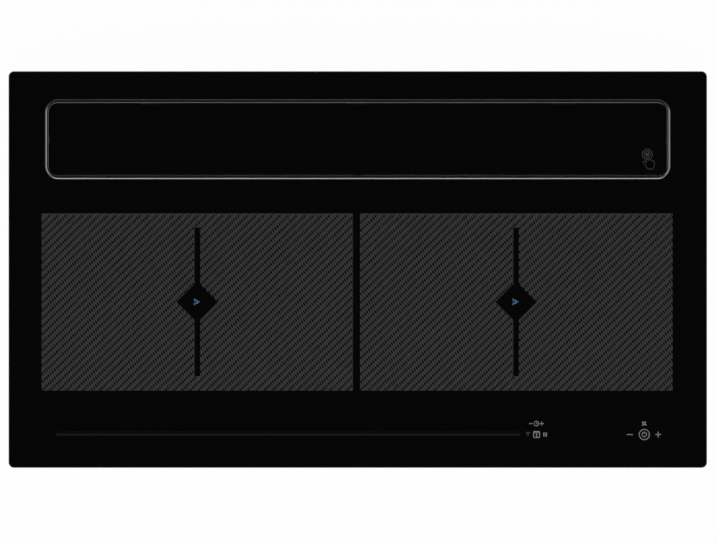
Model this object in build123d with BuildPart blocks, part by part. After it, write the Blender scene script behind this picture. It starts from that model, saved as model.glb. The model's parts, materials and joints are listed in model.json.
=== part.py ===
from build123d import *
import math
import os

os.makedirs("parts", exist_ok=True)

# Sizes in millimetres. X runs to the right, Y to the rear, Z up.
# The worktop plane under the seal is z = 0, below the middle of the glass.

# Glass top and worktop seal
glass_width = 900
glass_depth = 511
glass_thick = 6
glass_corner = 7
glass_bevel = 0.8
seal_thick = 2
seal_width = 7
seal_inset = 2

# Intake bezel and filter basket
bezel_side_margin = 47.3
bezel_depth = 102.4
bezel_band = 4.2
bezel_corner = 16.7
bezel_side = 0.4
bezel_rise = 1.5
bezel_ridge = 0.6
bezel_inner = 1.3
bezel_lip = 1.7
bezel_rear_margin = 36.3
opening_clear = 0.5
basket_ledge = 9
basket_floor = 2
filter_height = 16
filter_band = 9
filter_clear = 0.5
filter_sheet = 1.2

# Tilting lid
lid_thick = 5
lid_bevel = 0.6
lid_pivot_drop = 12
lid_swing_clear = 0.5
lid_end_clear = 2
lid_filter_clear = 5.5
carrier_sheet = 1.5
carrier_inset = 9
rib_height = 7
cheek_thick = 4.5
cheek_gap = 1.5
pin_radius = 3
running_fit = 0.05
press_fit = 0.02
hub_fit = 0.1
bush_wall = 2
boss_wall = 1.2
boss_length = 7.5
stop_gap = 0.2
stop_depth = 5

# Lid damper gears
gear_module = 1
sector_teeth = 36
pinion_teeth = 12
gear_thin = 0.2
tooth_top = 0.75
tooth_foot = 1.0
pressure_angle = 20
gear_thick = 5
gear_spacer = 2
damper_angle = -45
damper_radius = 12
damper_thick = 8
damper_shaft = 2.5
lid_travel = 80

# Base tray
sheet = 1
tray_side_inset = 32
tray_end_inset = 16.5
tray_corner = 12
tray_height = 64
tray_flange = 5

# Intake hopper and suction box
hopper_clear = 1.5
moulding = 2.5
hopper_flange = 6
hopper_foot = 9
tray_hole_clear = 0.5
well_space = 34
suction_half = 300
suction_front = -150
suction_shoulder_gap = 30
suction_corner = 30

# Fan
fan_x = -60
fan_y = -50
eye_radius = 70
nozzle_depth = 9
volute_radius = 116
volute_step = 18
tongue_angle = 55
tongue_radius = 6
duct_width = 222
duct_height = 89
duct_shift = 130
scroll_end_y = 118
scroll_flange = 9
flange_thick = 3
impeller_radius = 92
impeller_sheet = 2.5
impeller_clear = 13
blade_count = 11
blade_sweep = 46
rotor_radius = 46
rotor_wall = 3
rotor_height = 36.5
air_gap = 0.8
shaft_radius = 4
bearing_radius = 8
bearing_height = 7
grommet_thick = 2
grommet_circle = 51
base_radius = 58

# Outlet box and backdraft leaves
outlet_rear_inset = 5.5
leaf_pin_inset = 12
leaf_thick = 2
leaf_gap = 1
hinge_radius = 2
knuckle_radius = 4.5
hinge_fit = 0.1

# Overflow tray on rails under the hopper
overflow_end_inset = 120.5
overflow_width = 130
overflow_depth = 34
overflow_drop = 8
rail_thick = 2
rail_lip = 8

# Induction units
zone_side_margin = 46.5
zone_gap = 15
zone_y = -42
zone_depth = 226
coil_middle_gap = 4
wire_radius = 2.1
wire_pitch = 5.5
coil_turns = 10
coil_start_radius = 26
coil_straight = 40
insulation = 1
coil_gap = 0.1
ferrite_thick = 6
ferrite_length = 54
ferrite_width = 12
coil_sheet = 1.5

# Electronics
board_length = 240
board_depth = 190
board_cooler_gap = 15
board_y = -60
board_thick = 1.6
board_lift = 8
cooler_size = 80
cooler_height = 25
cooler_side_gap = 13
cooler_y = -60
touch_x = 2
touch_front_margin = 43.5
touch_side_gap = 20.5
touch_depth = 40
touch_pad_height = 6.4
slider_left_margin = 61
slider_right_margin = 241
slider_depth = 5
box_x = 265
box_front_gap = 42
gland_bore = 7
gland_radius = 10

# Worktop clamps
clamp_y = 150
clamp_out = 7.5
clamp_half = 5
clamp_length = 44
clamp_screw = 2.4

# Screws
screw_radius = 2
screw_fit = 0.1
screw_head = 4
screw_head_height = 2.6

# Levels and outlines that follow from the sizes
glass_bottom_z = seal_thick
glass_top_z = glass_bottom_z + glass_thick
bezel_length = glass_width - 2 * bezel_side_margin
intake_y = glass_depth / 2 - bezel_rear_margin - bezel_depth / 2
opening_length = bezel_length - 2 * bezel_lip
opening_depth = bezel_depth - 2 * bezel_lip
opening_corner = bezel_corner - bezel_lip
basket_length = opening_length - 2 * opening_clear
basket_depth = opening_depth - 2 * opening_clear
basket_corner = opening_corner - opening_clear
well_length = bezel_length - 2 * bezel_band
well_depth = bezel_depth - 2 * bezel_band
well_corner = bezel_corner - bezel_band
basket_wall = (basket_length - well_length) / 2
hopper_in_length = basket_length + 2 * hopper_clear
hopper_in_depth = basket_depth + 2 * hopper_clear
hopper_in_corner = basket_corner + hopper_clear
hopper_length = hopper_in_length + 2 * moulding
hopper_depth = hopper_in_depth + 2 * moulding
hopper_corner = hopper_in_corner + moulding
hopper_front_y = intake_y - hopper_depth / 2
hopper_rear_y = intake_y + hopper_depth / 2
overflow_x = overflow_end_inset - hopper_length / 2
suction_shoulder = hopper_front_y - suction_shoulder_gap

tray_width = glass_width - 2 * tray_side_inset
tray_length = glass_depth - 2 * tray_end_inset
zone_length = glass_width / 2 - zone_side_margin - zone_gap / 2
zone_x = (zone_length + zone_gap) / 2
coil_spacing = (zone_length + coil_middle_gap) / 2
cooler_x = tray_width / 2 - cooler_side_gap - cooler_size / 2
board_x = cooler_x - cooler_size / 2 - board_cooler_gap - board_length / 2
touch_y = touch_front_margin - glass_depth / 2
touch_length = tray_width - 2 * touch_side_gap
slider_length = glass_width - slider_left_margin - slider_right_margin
slider_x = (slider_left_margin - slider_right_margin) / 2
box_y = box_front_gap - tray_length / 2

pivot_z = glass_top_z - lid_pivot_drop
lid_reach = well_depth / 2 - lid_swing_clear
lid_length = well_length - 2 * lid_end_clear
lid_depth = 2 * math.sqrt(lid_reach**2 - lid_pivot_drop**2)
lid_corner = well_corner - lid_end_clear
lid_bottom_z = glass_top_z - lid_thick
carrier_bottom_z = lid_bottom_z - carrier_sheet
filter_top_z = pivot_z - lid_reach - lid_filter_clear
filter_bottom_z = filter_top_z - filter_height
basket_bottom_z = filter_bottom_z - basket_floor

tray_bottom_z = glass_bottom_z - tray_height
tray_floor_z = tray_bottom_z + sheet
hopper_top_z = glass_bottom_z - seal_thick
duct_top_z = basket_bottom_z - well_space
suction_top_z = tray_bottom_z - moulding
scroll_bottom_z = duct_top_z - duct_height
scroll_split_z = (duct_top_z + scroll_bottom_z) / 2
sides = (("left", -1), ("right", 1))


def keep(piece, name):
    piece.part.label = name
    export_step(piece.part, f"parts/{name}.step")


def frame(length, depth, corner, band):
    RectangleRounded(length, depth, corner)
    RectangleRounded(length - 2 * band, depth - 2 * band, corner - band, mode=Mode.SUBTRACT)


def across(x):
    # Plane that looks along the lid pivot: its axes are Y and Z
    return Plane((x, intake_y, pivot_z), x_dir=(0, 1, 0), z_dir=(1, 0, 0))


# Glass-ceramic top with the intake opening
with BuildPart() as glass_top:
    with BuildSketch(Plane.XY.offset(glass_bottom_z)):
        RectangleRounded(glass_width, glass_depth, glass_corner)
        with Locations((0, intake_y)):
            RectangleRounded(opening_length, opening_depth, opening_corner, mode=Mode.SUBTRACT)
    extrude(amount=glass_thick)
    chamfer(glass_top.faces().sort_by(Axis.Z)[-1].outer_wire().edges(), glass_bevel)
keep(glass_top, "glass_top")

# Soft seal between the glass rim and the worktop
with BuildPart() as worktop_seal:
    with BuildSketch():
        frame(glass_width - 2 * seal_inset, glass_depth - 2 * seal_inset, glass_corner + 1, seal_width)
    extrude(amount=seal_thick)
keep(worktop_seal, "worktop_seal")

# Metal bezel that lies on the glass round the intake: a long outer slope, its ridge near the inner edge
bezel_face = Pos(0, intake_y, glass_top_z) * RectangleRounded(
    bezel_length - bezel_band, bezel_depth - bezel_band, bezel_corner - bezel_band / 2
)
bezel_path = bezel_face.faces()[0].outer_wire()
bezel_along = bezel_path % 0
bezel_start = Plane(bezel_path @ 0, x_dir=Vector(0, 0, 1).cross(bezel_along), z_dir=bezel_along)
ridge = (bezel_band / 2 - bezel_ridge, bezel_rise)
with BuildPart() as intake_bezel:
    with BuildSketch(bezel_start):
        with BuildLine():
            Polyline(
                (-bezel_band / 2, bezel_side),
                (-bezel_band / 2, 0),
                (bezel_band / 2, 0),
                (bezel_band / 2, bezel_inner),
            )
            TangentArc(ridge, (-bezel_band / 2, bezel_side), tangent=(-1, 0))
            TangentArc(ridge, (bezel_band / 2, bezel_inner), tangent=(1, 0))
        make_face()
    sweep(path=bezel_path)
keep(intake_bezel, "intake_bezel")

# Filter basket: deep frame under the bezel with the lid bearings
bush_radius = pin_radius + running_fit + bush_wall
with BuildPart() as filter_basket:
    with BuildSketch(Plane.XY.offset(filter_bottom_z)):
        with Locations((0, intake_y)):
            frame(basket_length, basket_depth, basket_corner, basket_wall)
    extrude(amount=glass_top_z - filter_bottom_z)
    for x in (-well_length / 2, well_length / 2 - boss_length):
        with BuildSketch(across(x)):
            Circle(bush_radius + press_fit + boss_wall)
        extrude(amount=boss_length)
    with BuildSketch(across(-basket_length)):
        Circle(bush_radius + press_fit)
    extrude(amount=2 * basket_length, mode=Mode.SUBTRACT)
keep(filter_basket, "filter_basket")

# Ledge frame under the basket walls, which carries the two filters
with BuildPart() as filter_ledge:
    with BuildSketch(Plane.XY.offset(basket_bottom_z)):
        with Locations((0, intake_y)):
            RectangleRounded(basket_length, basket_depth, basket_corner)
        with Locations((-well_length / 4, intake_y), (well_length / 4, intake_y)):
            RectangleRounded(
                well_length / 2 - 2 * basket_ledge,
                well_depth - 2 * basket_ledge,
                basket_ledge,
                mode=Mode.SUBTRACT,
            )
    extrude(amount=basket_floor)
keep(filter_ledge, "filter_ledge")

# Plain bearing bushes of the lid pins
with BuildPart() as pivot_bushes:
    for x in (-basket_length / 2, well_length / 2 - boss_length):
        with BuildSketch(across(x)):
            Circle(bush_radius)
            Circle(pin_radius + running_fit, mode=Mode.SUBTRACT)
        extrude(amount=boss_length + basket_wall)
keep(pivot_bushes, "pivot_bushes")

# Two grease filters, each a frame with an upper and a lower holed sheet
filter_length = well_length / 2 - 1.5 * filter_clear
filter_depth = well_depth - 2 * filter_clear
filter_corner = well_corner - filter_clear
filter_x = (well_length - filter_clear) / 4
for side_name, side in sides:
    with BuildPart() as filter_frame:
        with BuildSketch(Plane.XY.offset(filter_bottom_z)):
            with Locations((side * filter_x, intake_y)):
                frame(filter_length, filter_depth, filter_corner, filter_band)
        extrude(amount=filter_height)
    keep(filter_frame, f"filter_frame_{side_name}")

sheet_length = filter_length - 2 * filter_band
sheet_depth = filter_depth - 2 * filter_band
with BuildPart() as filter_sheets:
    for z in (filter_bottom_z + filter_sheet, filter_top_z - 2 * filter_sheet):
        with BuildSketch(Plane.XY.offset(z)):
            with Locations((-filter_x, intake_y), (filter_x, intake_y)):
                RectangleRounded(sheet_length, sheet_depth, filter_corner - filter_band)
                with GridLocations(sheet_length / 21, sheet_depth / 6.25, 20, 6):
                    SlotOverall(sheet_length / 27, sheet_depth / 9.5, mode=Mode.SUBTRACT)
        extrude(amount=filter_sheet)
keep(filter_sheets, "filter_sheets")

# Lid glass, level with the glass top
with BuildPart() as lid_glass:
    with BuildSketch(Plane.XY.offset(lid_bottom_z)):
        with Locations((0, intake_y)):
            RectangleRounded(lid_length, lid_depth, lid_corner)
    extrude(amount=lid_thick)
    chamfer(lid_glass.faces().sort_by(Axis.Z)[-1].edges(), lid_bevel)
keep(lid_glass, "lid_glass")

# Folded lid carrier: plate, two ribs and an end cheek for each pivot pin
cheek_outer = well_length / 2 - boss_length - cheek_gap
cheek_inner = cheek_outer - cheek_thick
cheek_rise = carrier_bottom_z - pivot_z
cheek_radius = lid_bottom_z - pivot_z - stop_gap
carrier_depth = lid_depth - 2 * carrier_inset
gear_x = cheek_inner - gear_spacer - gear_thick
with BuildPart() as lid_carrier:
    with BuildSketch(Plane.XY.offset(carrier_bottom_z)):
        with Locations((0, intake_y)):
            RectangleRounded(2 * cheek_outer, carrier_depth, 2 * carrier_sheet)
    extrude(amount=carrier_sheet)
    with BuildSketch(Plane.XY.offset(carrier_bottom_z - rib_height)):
        with Locations((0, intake_y - carrier_depth / 3), (0, intake_y + carrier_depth / 3)):
            Rectangle(2 * (gear_x - gear_thick), 2 * carrier_sheet)
    extrude(amount=rib_height)
    for x in (-cheek_outer, cheek_inner):
        with BuildSketch(across(x)):
            Circle(cheek_radius)
            with Locations((0, cheek_rise / 2)):
                Rectangle(2 * cheek_radius, cheek_rise)
            Circle(pin_radius + press_fit, mode=Mode.SUBTRACT)
        extrude(amount=cheek_thick)
keep(lid_carrier, "lid_carrier")

# Pivot pins pressed into the cheeks
pin_length = basket_length / 2 - 1 - gear_x
with BuildPart() as lid_pins:
    for x in (-gear_x - pin_length, gear_x):
        with BuildSketch(across(x)):
            Circle(pin_radius)
        extrude(amount=pin_length)
keep(lid_pins, "lid_pins")

# Rubber pads that stop the rear edge of the closed lid
with BuildPart() as lid_stops:
    with BuildSketch(Plane.XY.offset(lid_bottom_z - stop_gap - 6)):
        with GridLocations(well_length / 3, 0, 3, 1):
            with Locations((0, intake_y + (well_depth - stop_depth) / 2)):
                Rectangle(30, stop_depth)
    extrude(amount=6)
keep(lid_stops, "lid_stops")


def draw_gear(teeth, first_angle):
    # Involute outline, each flank an arc through three points of its curve
    pressure = math.radians(pressure_angle)
    pitch = gear_module * teeth / 2
    base = pitch * math.cos(pressure)
    tip = pitch + tooth_top * gear_module
    root = pitch - tooth_foot * gear_module
    start = max(base, root)
    middle = (start + tip) / 2
    half = (math.pi * gear_module / 2 - gear_thin) / 2 / pitch
    step = 2 * math.pi / teeth

    def spread(radius):
        roll = math.acos(min(1, base / radius))
        return half + math.tan(pressure) - pressure - math.tan(roll) + roll

    def at(radius, angle):
        return (radius * math.cos(angle), radius * math.sin(angle))

    foot = spread(start)
    for tooth in range(teeth):
        axis = math.radians(first_angle) + tooth * step
        if root < start:
            Line(at(root, axis - foot), at(start, axis - foot))
        ThreePointArc(at(start, axis - foot), at(middle, axis - spread(middle)), at(tip, axis - spread(tip)))
        ThreePointArc(at(tip, axis - spread(tip)), at(tip, axis), at(tip, axis + spread(tip)))
        ThreePointArc(at(tip, axis + spread(tip)), at(middle, axis + spread(middle)), at(start, axis + foot))
        if root < start:
            Line(at(start, axis + foot), at(root, axis + foot))
        ThreePointArc(at(root, axis + foot), at(root, axis + step / 2), at(root, axis + step - foot))


# Toothed sector on the right pivot pin
gear_distance = gear_module * (sector_teeth + pinion_teeth) / 2
damper_y = gear_distance * math.cos(math.radians(damper_angle))
damper_z = gear_distance * math.sin(math.radians(damper_angle))
hub_radius = cheek_rise - stop_gap
wedge = [math.radians(damper_angle + turn) for turn in (13, 0, -lid_travel / 2, -lid_travel, -lid_travel - 8)]
with BuildPart() as lid_sector:
    with BuildSketch(across(gear_x)):
        with BuildLine():
            draw_gear(sector_teeth, damper_angle)
        make_face()
        with BuildLine():
            Polyline(
                (0, 0),
                *[(gear_distance * math.cos(turn), gear_distance * math.sin(turn)) for turn in wedge],
                close=True,
            )
        make_face(mode=Mode.INTERSECT)
        Circle(hub_radius)
        Circle(pin_radius + press_fit, mode=Mode.SUBTRACT)
    extrude(amount=gear_thick)
    with BuildSketch(across(gear_x + gear_thick)):
        Circle(hub_radius)
        Circle(pin_radius + press_fit, mode=Mode.SUBTRACT)
    extrude(amount=gear_spacer)
keep(lid_sector, "lid_sector")

# Damper pinion with its shaft
damper_x = well_length / 2 - damper_thick
with BuildPart() as damper_pinion:
    with BuildSketch(across(gear_x).offset(-0.5)):
        with BuildLine():
            draw_gear(pinion_teeth, damper_angle + 180 + 180 / pinion_teeth)
        make_face()
    extrude(amount=gear_thick + 1)
    with BuildSketch(across(gear_x + gear_thick + 0.5)):
        Circle(damper_shaft)
    extrude(amount=damper_x - gear_x - gear_thick - 0.5 + damper_thick - 2)
damper_pinion.part.position = (0, damper_y, damper_z)
keep(damper_pinion, "damper_pinion")

# Damper body on the right end wall of the basket
with BuildPart() as damper_body:
    with BuildSketch(across(damper_x)):
        with Locations((damper_y, damper_z)):
            Circle(damper_radius)
    extrude(amount=damper_thick)
    with BuildSketch(across(damper_x + damper_thick - 2)):
        with Locations((damper_y, damper_z)):
            SlotOverall(2 * damper_radius + 14, 7, rotation=45)
    extrude(amount=2)
    with BuildSketch(across(damper_x)):
        with Locations((damper_y, damper_z)):
            Circle(damper_shaft + running_fit)
    extrude(amount=damper_thick - 1.5, mode=Mode.SUBTRACT)
keep(damper_body, "damper_body")

# Intake hopper with its flanges, drain spout, rails and ribs
rail_half = overflow_width / 2 + rail_lip + 1 + rail_thick
rail_lip_z = duct_top_z - overflow_drop - rail_thick
window_half = suction_half - 4 * moulding
window_low = duct_top_z + 1.6 * moulding
window_high = basket_bottom_z - 1.6 * moulding
with BuildPart() as intake_hopper:
    with BuildSketch(Plane.XY.offset(duct_top_z)):
        with Locations((0, intake_y)):
            RectangleRounded(hopper_length, hopper_depth, hopper_corner)
    extrude(amount=hopper_top_z - duct_top_z)
    for z, grow in ((hopper_top_z - moulding, hopper_flange), (suction_top_z, hopper_foot)):
        with BuildSketch(Plane.XY.offset(z)):
            with Locations((0, intake_y)):
                RectangleRounded(hopper_length + 2 * grow, hopper_depth + 2 * grow, hopper_corner + grow)
        extrude(amount=moulding)
    with BuildSketch(Plane.XY.offset(duct_top_z + 2 * moulding)):
        with GridLocations(60, 0, 12, 1):
            with Locations((0, hopper_rear_y + moulding)):
                Rectangle(moulding, 2 * moulding)
    extrude(amount=suction_top_z - duct_top_z - 2 * moulding)
    for side in (-1, 1):
        with Locations((overflow_x + side * (rail_half - rail_thick / 2), intake_y, duct_top_z)):
            Box(rail_thick, hopper_depth, overflow_drop + 2 * rail_thick, align=(Align.CENTER, Align.CENTER, Align.MAX))
        with Locations((overflow_x + side * (rail_half - rail_lip / 2), intake_y, rail_lip_z)):
            Box(rail_lip, hopper_depth, rail_thick, align=(Align.CENTER, Align.CENTER, Align.MAX))
    with Locations((overflow_x, intake_y, duct_top_z)):
        Cylinder(8, overflow_drop - 3, align=(Align.CENTER, Align.CENTER, Align.MAX))
    with BuildSketch(Plane.XY.offset(duct_top_z + moulding)):
        with Locations((0, intake_y)):
            RectangleRounded(hopper_in_length, hopper_in_depth, hopper_in_corner)
    extrude(amount=hopper_top_z - duct_top_z, mode=Mode.SUBTRACT)
    with Locations((0, hopper_front_y, (window_low + window_high) / 2)):
        Box(2 * window_half, 4 * moulding, window_high - window_low, mode=Mode.SUBTRACT)
    with Locations((overflow_x, intake_y, duct_top_z)):
        Cylinder(8 - moulding, 4 * overflow_drop, mode=Mode.SUBTRACT)
    foot_holes = [(x, hopper_rear_y + hopper_foot / 2) for x in (-360, -240, -120, 0, 120, 240, 360)]
    foot_holes += [(side * (hopper_length + hopper_foot) / 2, intake_y) for side in (-1, 1)]
    foot_holes += [(side * (suction_half + 60), hopper_front_y - hopper_foot / 2) for side in (-1, 1)]
    with BuildSketch(Plane.XY.offset(suction_top_z)):
        with Locations(*foot_holes):
            Circle(screw_radius + screw_fit)
    extrude(amount=moulding, mode=Mode.SUBTRACT)
keep(intake_hopper, "intake_hopper")

# Gasket between the hopper and the underside of the glass
with BuildPart() as hopper_gasket:
    with BuildSketch(Plane.XY.offset(hopper_top_z)):
        with Locations((0, intake_y)):
            frame(
                hopper_length + 2 * hopper_flange,
                hopper_depth + 2 * hopper_flange,
                hopper_corner + hopper_flange,
                hopper_flange + moulding,
            )
    extrude(amount=glass_bottom_z - hopper_top_z)
keep(hopper_gasket, "hopper_gasket")


# Suction box between the hopper window and the fan eye
suction_points = [
    (suction_half, hopper_front_y),
    (suction_half, suction_shoulder),
    (fan_x + volute_radius + volute_step, suction_front),
    (fan_x - volute_radius - volute_step, suction_front),
    (-suction_half, suction_shoulder),
    (-suction_half, hopper_front_y),
]
pads = [(-suction_half + 60, suction_shoulder - 30), (suction_half - 60, suction_shoulder - 30)]
pads += [(fan_x - volute_radius + 10, suction_front + 24), (fan_x + volute_radius - 10, suction_front + 24)]
with BuildPart() as suction_box:
    with BuildSketch(Plane.XY.offset(duct_top_z)) as suction_plan:
        with BuildLine():
            Polyline(*suction_points, close=True)
        make_face()
        fillet(suction_plan.vertices().sort_by(Axis.Y)[:4], suction_corner)
    extrude(amount=suction_top_z - duct_top_z)
    with BuildSketch(Plane.XY.offset(suction_top_z)):
        with Locations(*pads):
            RectangleRounded(26, 20, 4)
    extrude(amount=moulding)
    with BuildSketch(Plane.XY.offset(duct_top_z + moulding)) as suction_room:
        with BuildLine():
            Polyline(*suction_points, close=True)
        make_face()
        fillet(suction_room.vertices().sort_by(Axis.Y)[:4], suction_corner)
        offset(amount=-moulding, mode=Mode.REPLACE)
    extrude(amount=suction_top_z - duct_top_z - 2 * moulding, mode=Mode.SUBTRACT)
    with Locations((0, hopper_front_y, (window_low + window_high) / 2)):
        Box(2 * window_half, 4 * moulding, window_high - window_low, mode=Mode.SUBTRACT)
    with BuildSketch(Plane.XY.offset(duct_top_z)):
        with Locations((fan_x, fan_y)):
            Circle(eye_radius)
    extrude(amount=moulding, mode=Mode.SUBTRACT)
    with BuildSketch(Plane.XY.offset(suction_top_z - moulding)):
        with Locations(*pads):
            Circle(screw_radius + screw_fit)
    extrude(amount=2 * moulding, mode=Mode.SUBTRACT)
keep(suction_box, "suction_box")

# Fan scroll: three quarter arcs of growing radius, then the flared outlet
scroll_centres = [(fan_x - volute_step / 2, fan_y - volute_step / 2)]
scroll_centres += [(fan_x + volute_step / 2, fan_y - volute_step / 2)]
scroll_centres += [(fan_x + volute_step / 2, fan_y + volute_step / 2)]
scroll_radii = [volute_radius + turn * volute_step for turn in range(3)]
outlet_x = fan_x + duct_shift
outlet_left = outlet_x - duct_width / 2
outlet_right = outlet_x + duct_width / 2
tongue = Vector(math.cos(math.radians(tongue_angle)), math.sin(math.radians(tongue_angle)))
tongue_start = Vector(*scroll_centres[0]) + tongue * volute_radius
tongue_end = tongue_start + tongue * 2 * tongue_radius
tongue_nose = tongue_start + (tongue + Vector(tongue.Y, -tongue.X)) * tongue_radius


def draw_scroll():
    CenterArc(scroll_centres[0], scroll_radii[0], tongue_angle, 180 - tongue_angle)
    CenterArc(scroll_centres[1], scroll_radii[1], 180, 90)
    CenterArc(scroll_centres[2], scroll_radii[2], 270, 90)
    right = scroll_centres[2][0] + scroll_radii[2]
    Polyline(
        (right, scroll_centres[2][1]),
        (right, fan_y + 2 * volute_step),
        (outlet_right, scroll_end_y - volute_step),
        (outlet_right, scroll_end_y),
        (outlet_left, scroll_end_y),
        (outlet_left, scroll_end_y - volute_step),
        (tongue_end.X, tongue_end.Y),
    )
    ThreePointArc(tongue_end, tongue_nose, tongue_start)


def scroll_point(angle, out):
    turn = max(0, int(angle // 90) - 1)
    radius = scroll_radii[turn] + out
    x, y = scroll_centres[turn]
    return (x + radius * math.cos(math.radians(angle)), y + radius * math.sin(math.radians(angle)))


flange_holes = [scroll_point(angle, screw_head + 0.5) for angle in (95, 140, 185, 225, 265, 310, 355)]
scroll_half = duct_height / 2
for name, level, toward in (("upper", duct_top_z, -1), ("lower", scroll_bottom_z, 1)):
    split = Plane.XY.offset(scroll_split_z)
    with BuildPart() as scroll_shell:
        with BuildSketch(split):
            with BuildLine():
                draw_scroll()
            make_face()
        extrude(amount=-toward * scroll_half)
        with BuildSketch(split):
            with BuildLine():
                draw_scroll()
            make_face()
            offset(amount=scroll_flange, mode=Mode.REPLACE)
            with Locations((outlet_x, scroll_end_y + duct_width)):
                Rectangle(2 * duct_width, 2 * duct_width, mode=Mode.SUBTRACT)
            with Locations(*flange_holes):
                Circle(screw_radius + screw_fit, mode=Mode.SUBTRACT)
        extrude(amount=-toward * flange_thick)
        with BuildSketch(split):
            with BuildLine():
                draw_scroll()
            make_face()
            offset(amount=-moulding, mode=Mode.REPLACE)
            with Locations((outlet_x, scroll_end_y)):
                Rectangle(duct_width - 2 * moulding, volute_step)
        extrude(amount=-toward * (scroll_half - moulding), mode=Mode.SUBTRACT)
        if name == "upper":
            with BuildSketch(Plane.XY.offset(duct_top_z - moulding - nozzle_depth)):
                with Locations((fan_x, fan_y)):
                    Circle(eye_radius + moulding)
            extrude(amount=nozzle_depth)
        with BuildSketch(Plane.XY.offset(level)):
            with Locations((fan_x, fan_y)):
                if name == "upper":
                    Circle(eye_radius)
                else:
                    Circle(grommet_circle - 7)
                    with PolarLocations(grommet_circle, 4, 45):
                        Circle(screw_radius + screw_fit)
        extrude(amount=toward * (moulding + nozzle_depth), mode=Mode.SUBTRACT)
    keep(scroll_shell, f"scroll_{name}")

# Impeller with backward leaning blades, pressed on the motor rotor
impeller_bottom_z = scroll_bottom_z + impeller_clear
impeller_top_z = duct_top_z - moulding - nozzle_depth - impeller_sheet
rotor_bottom_z = impeller_bottom_z - impeller_sheet
rotor_top_z = rotor_bottom_z + rotor_height
hub_outer = rotor_radius + hub_fit + impeller_sheet
blade_inner = hub_outer + 6
shroud_inner = eye_radius + 2 * moulding


def blade_point(radius, turn, lead):
    part_way = (radius - blade_inner) / (impeller_radius - blade_inner)
    angle = math.radians(turn - blade_sweep * part_way) + lead / radius
    return (fan_x + radius * math.cos(angle), fan_y + radius * math.sin(angle))


with BuildPart() as impeller:
    with BuildSketch(Plane.XY.offset(impeller_bottom_z)):
        with Locations((fan_x, fan_y)):
            Circle(impeller_radius)
            Circle(rotor_radius + hub_fit, mode=Mode.SUBTRACT)
    extrude(amount=impeller_sheet)
    with BuildSketch(Plane.XY.offset(impeller_bottom_z)):
        with Locations((fan_x, fan_y)):
            Circle(hub_outer)
            Circle(rotor_radius + hub_fit, mode=Mode.SUBTRACT)
    extrude(amount=rotor_top_z - impeller_bottom_z)
    with BuildSketch(Plane.XY.offset(rotor_top_z)):
        with Locations((fan_x, fan_y)):
            Circle(hub_outer)
    extrude(amount=impeller_sheet)
    with BuildSketch(Plane.XY.offset(impeller_top_z - impeller_sheet)):
        with Locations((fan_x, fan_y)):
            Circle(impeller_radius)
            Circle(shroud_inner, mode=Mode.SUBTRACT)
    extrude(amount=impeller_sheet)
    with BuildSketch(Plane.XY.offset(impeller_bottom_z + impeller_sheet)):
        for blade in range(blade_count):
            turn = blade * 360 / blade_count
            radii = [blade_inner, (blade_inner + impeller_radius) / 2, impeller_radius - 1]
            with BuildLine():
                ThreePointArc(*[blade_point(radius, turn, 1) for radius in radii])
                ThreePointArc(*[blade_point(radius, turn, -1) for radius in radii])
                Line(blade_point(radii[0], turn, 1), blade_point(radii[0], turn, -1))
                Line(blade_point(radii[2], turn, 1), blade_point(radii[2], turn, -1))
            make_face()
    extrude(amount=impeller_top_z - impeller_bottom_z - 2 * impeller_sheet)
keep(impeller, "impeller")

# Motor rotor cup with its shaft
motor_base_z = scroll_bottom_z + moulding + grommet_thick
with BuildPart() as motor_rotor:
    with BuildSketch(Plane.XY.offset(rotor_bottom_z)):
        with Locations((fan_x, fan_y)):
            Circle(rotor_radius)
    extrude(amount=rotor_height)
    with BuildSketch(Plane.XY.offset(rotor_bottom_z)):
        with Locations((fan_x, fan_y)):
            Circle(rotor_radius - rotor_wall)
    extrude(amount=rotor_height - rotor_wall, mode=Mode.SUBTRACT)
    with BuildSketch(Plane.XY.offset(motor_base_z + flange_thick)):
        with Locations((fan_x, fan_y)):
            Circle(shaft_radius)
    extrude(amount=rotor_top_z - motor_base_z - flange_thick)
keep(motor_rotor, "motor_rotor")

# Motor stator: base plate, bearing tube and slotted core
core_radius = rotor_radius - rotor_wall - air_gap
core_bottom_z = rotor_bottom_z + 2
core_top_z = rotor_top_z - rotor_wall - 4
with BuildPart() as motor_stator:
    with BuildSketch(Plane.XY.offset(motor_base_z)):
        with Locations((fan_x, fan_y)):
            Circle(base_radius)
            with PolarLocations(grommet_circle, 4, 45):
                Circle(screw_radius + screw_fit, mode=Mode.SUBTRACT)
    extrude(amount=flange_thick)
    with BuildSketch(Plane.XY.offset(motor_base_z)):
        with Locations((fan_x, fan_y)):
            Circle(2 * bearing_radius)
    extrude(amount=core_top_z - motor_base_z)
    with BuildSketch(Plane.XY.offset(core_bottom_z)):
        with Locations((fan_x, fan_y)):
            Circle(core_radius)
            with PolarLocations(core_radius - 8, 12):
                Rectangle(core_radius / 2, 6, mode=Mode.SUBTRACT)
    extrude(amount=core_top_z - core_bottom_z)
    with BuildSketch(Plane.XY.offset(motor_base_z)):
        with Locations((fan_x, fan_y)):
            Circle(bearing_radius)
    extrude(amount=core_top_z - motor_base_z, mode=Mode.SUBTRACT)
keep(motor_stator, "motor_stator")

with BuildPart() as motor_bearings:
    for z in (core_bottom_z, core_top_z - bearing_height):
        with BuildSketch(Plane.XY.offset(z)):
            with Locations((fan_x, fan_y)):
                Circle(bearing_radius)
                Circle(shaft_radius + running_fit, mode=Mode.SUBTRACT)
        extrude(amount=bearing_height)
keep(motor_bearings, "motor_bearings")

# Rubber grommets between the motor base and the scroll floor
with BuildPart() as motor_grommets:
    with BuildSketch(Plane.XY.offset(scroll_bottom_z + moulding)):
        with Locations((fan_x, fan_y)):
            with PolarLocations(grommet_circle, 4, 45):
                Circle(2 * screw_radius + 1)
                Circle(screw_radius + screw_fit, mode=Mode.SUBTRACT)
    extrude(amount=grommet_thick)
keep(motor_grommets, "motor_grommets")

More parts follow.
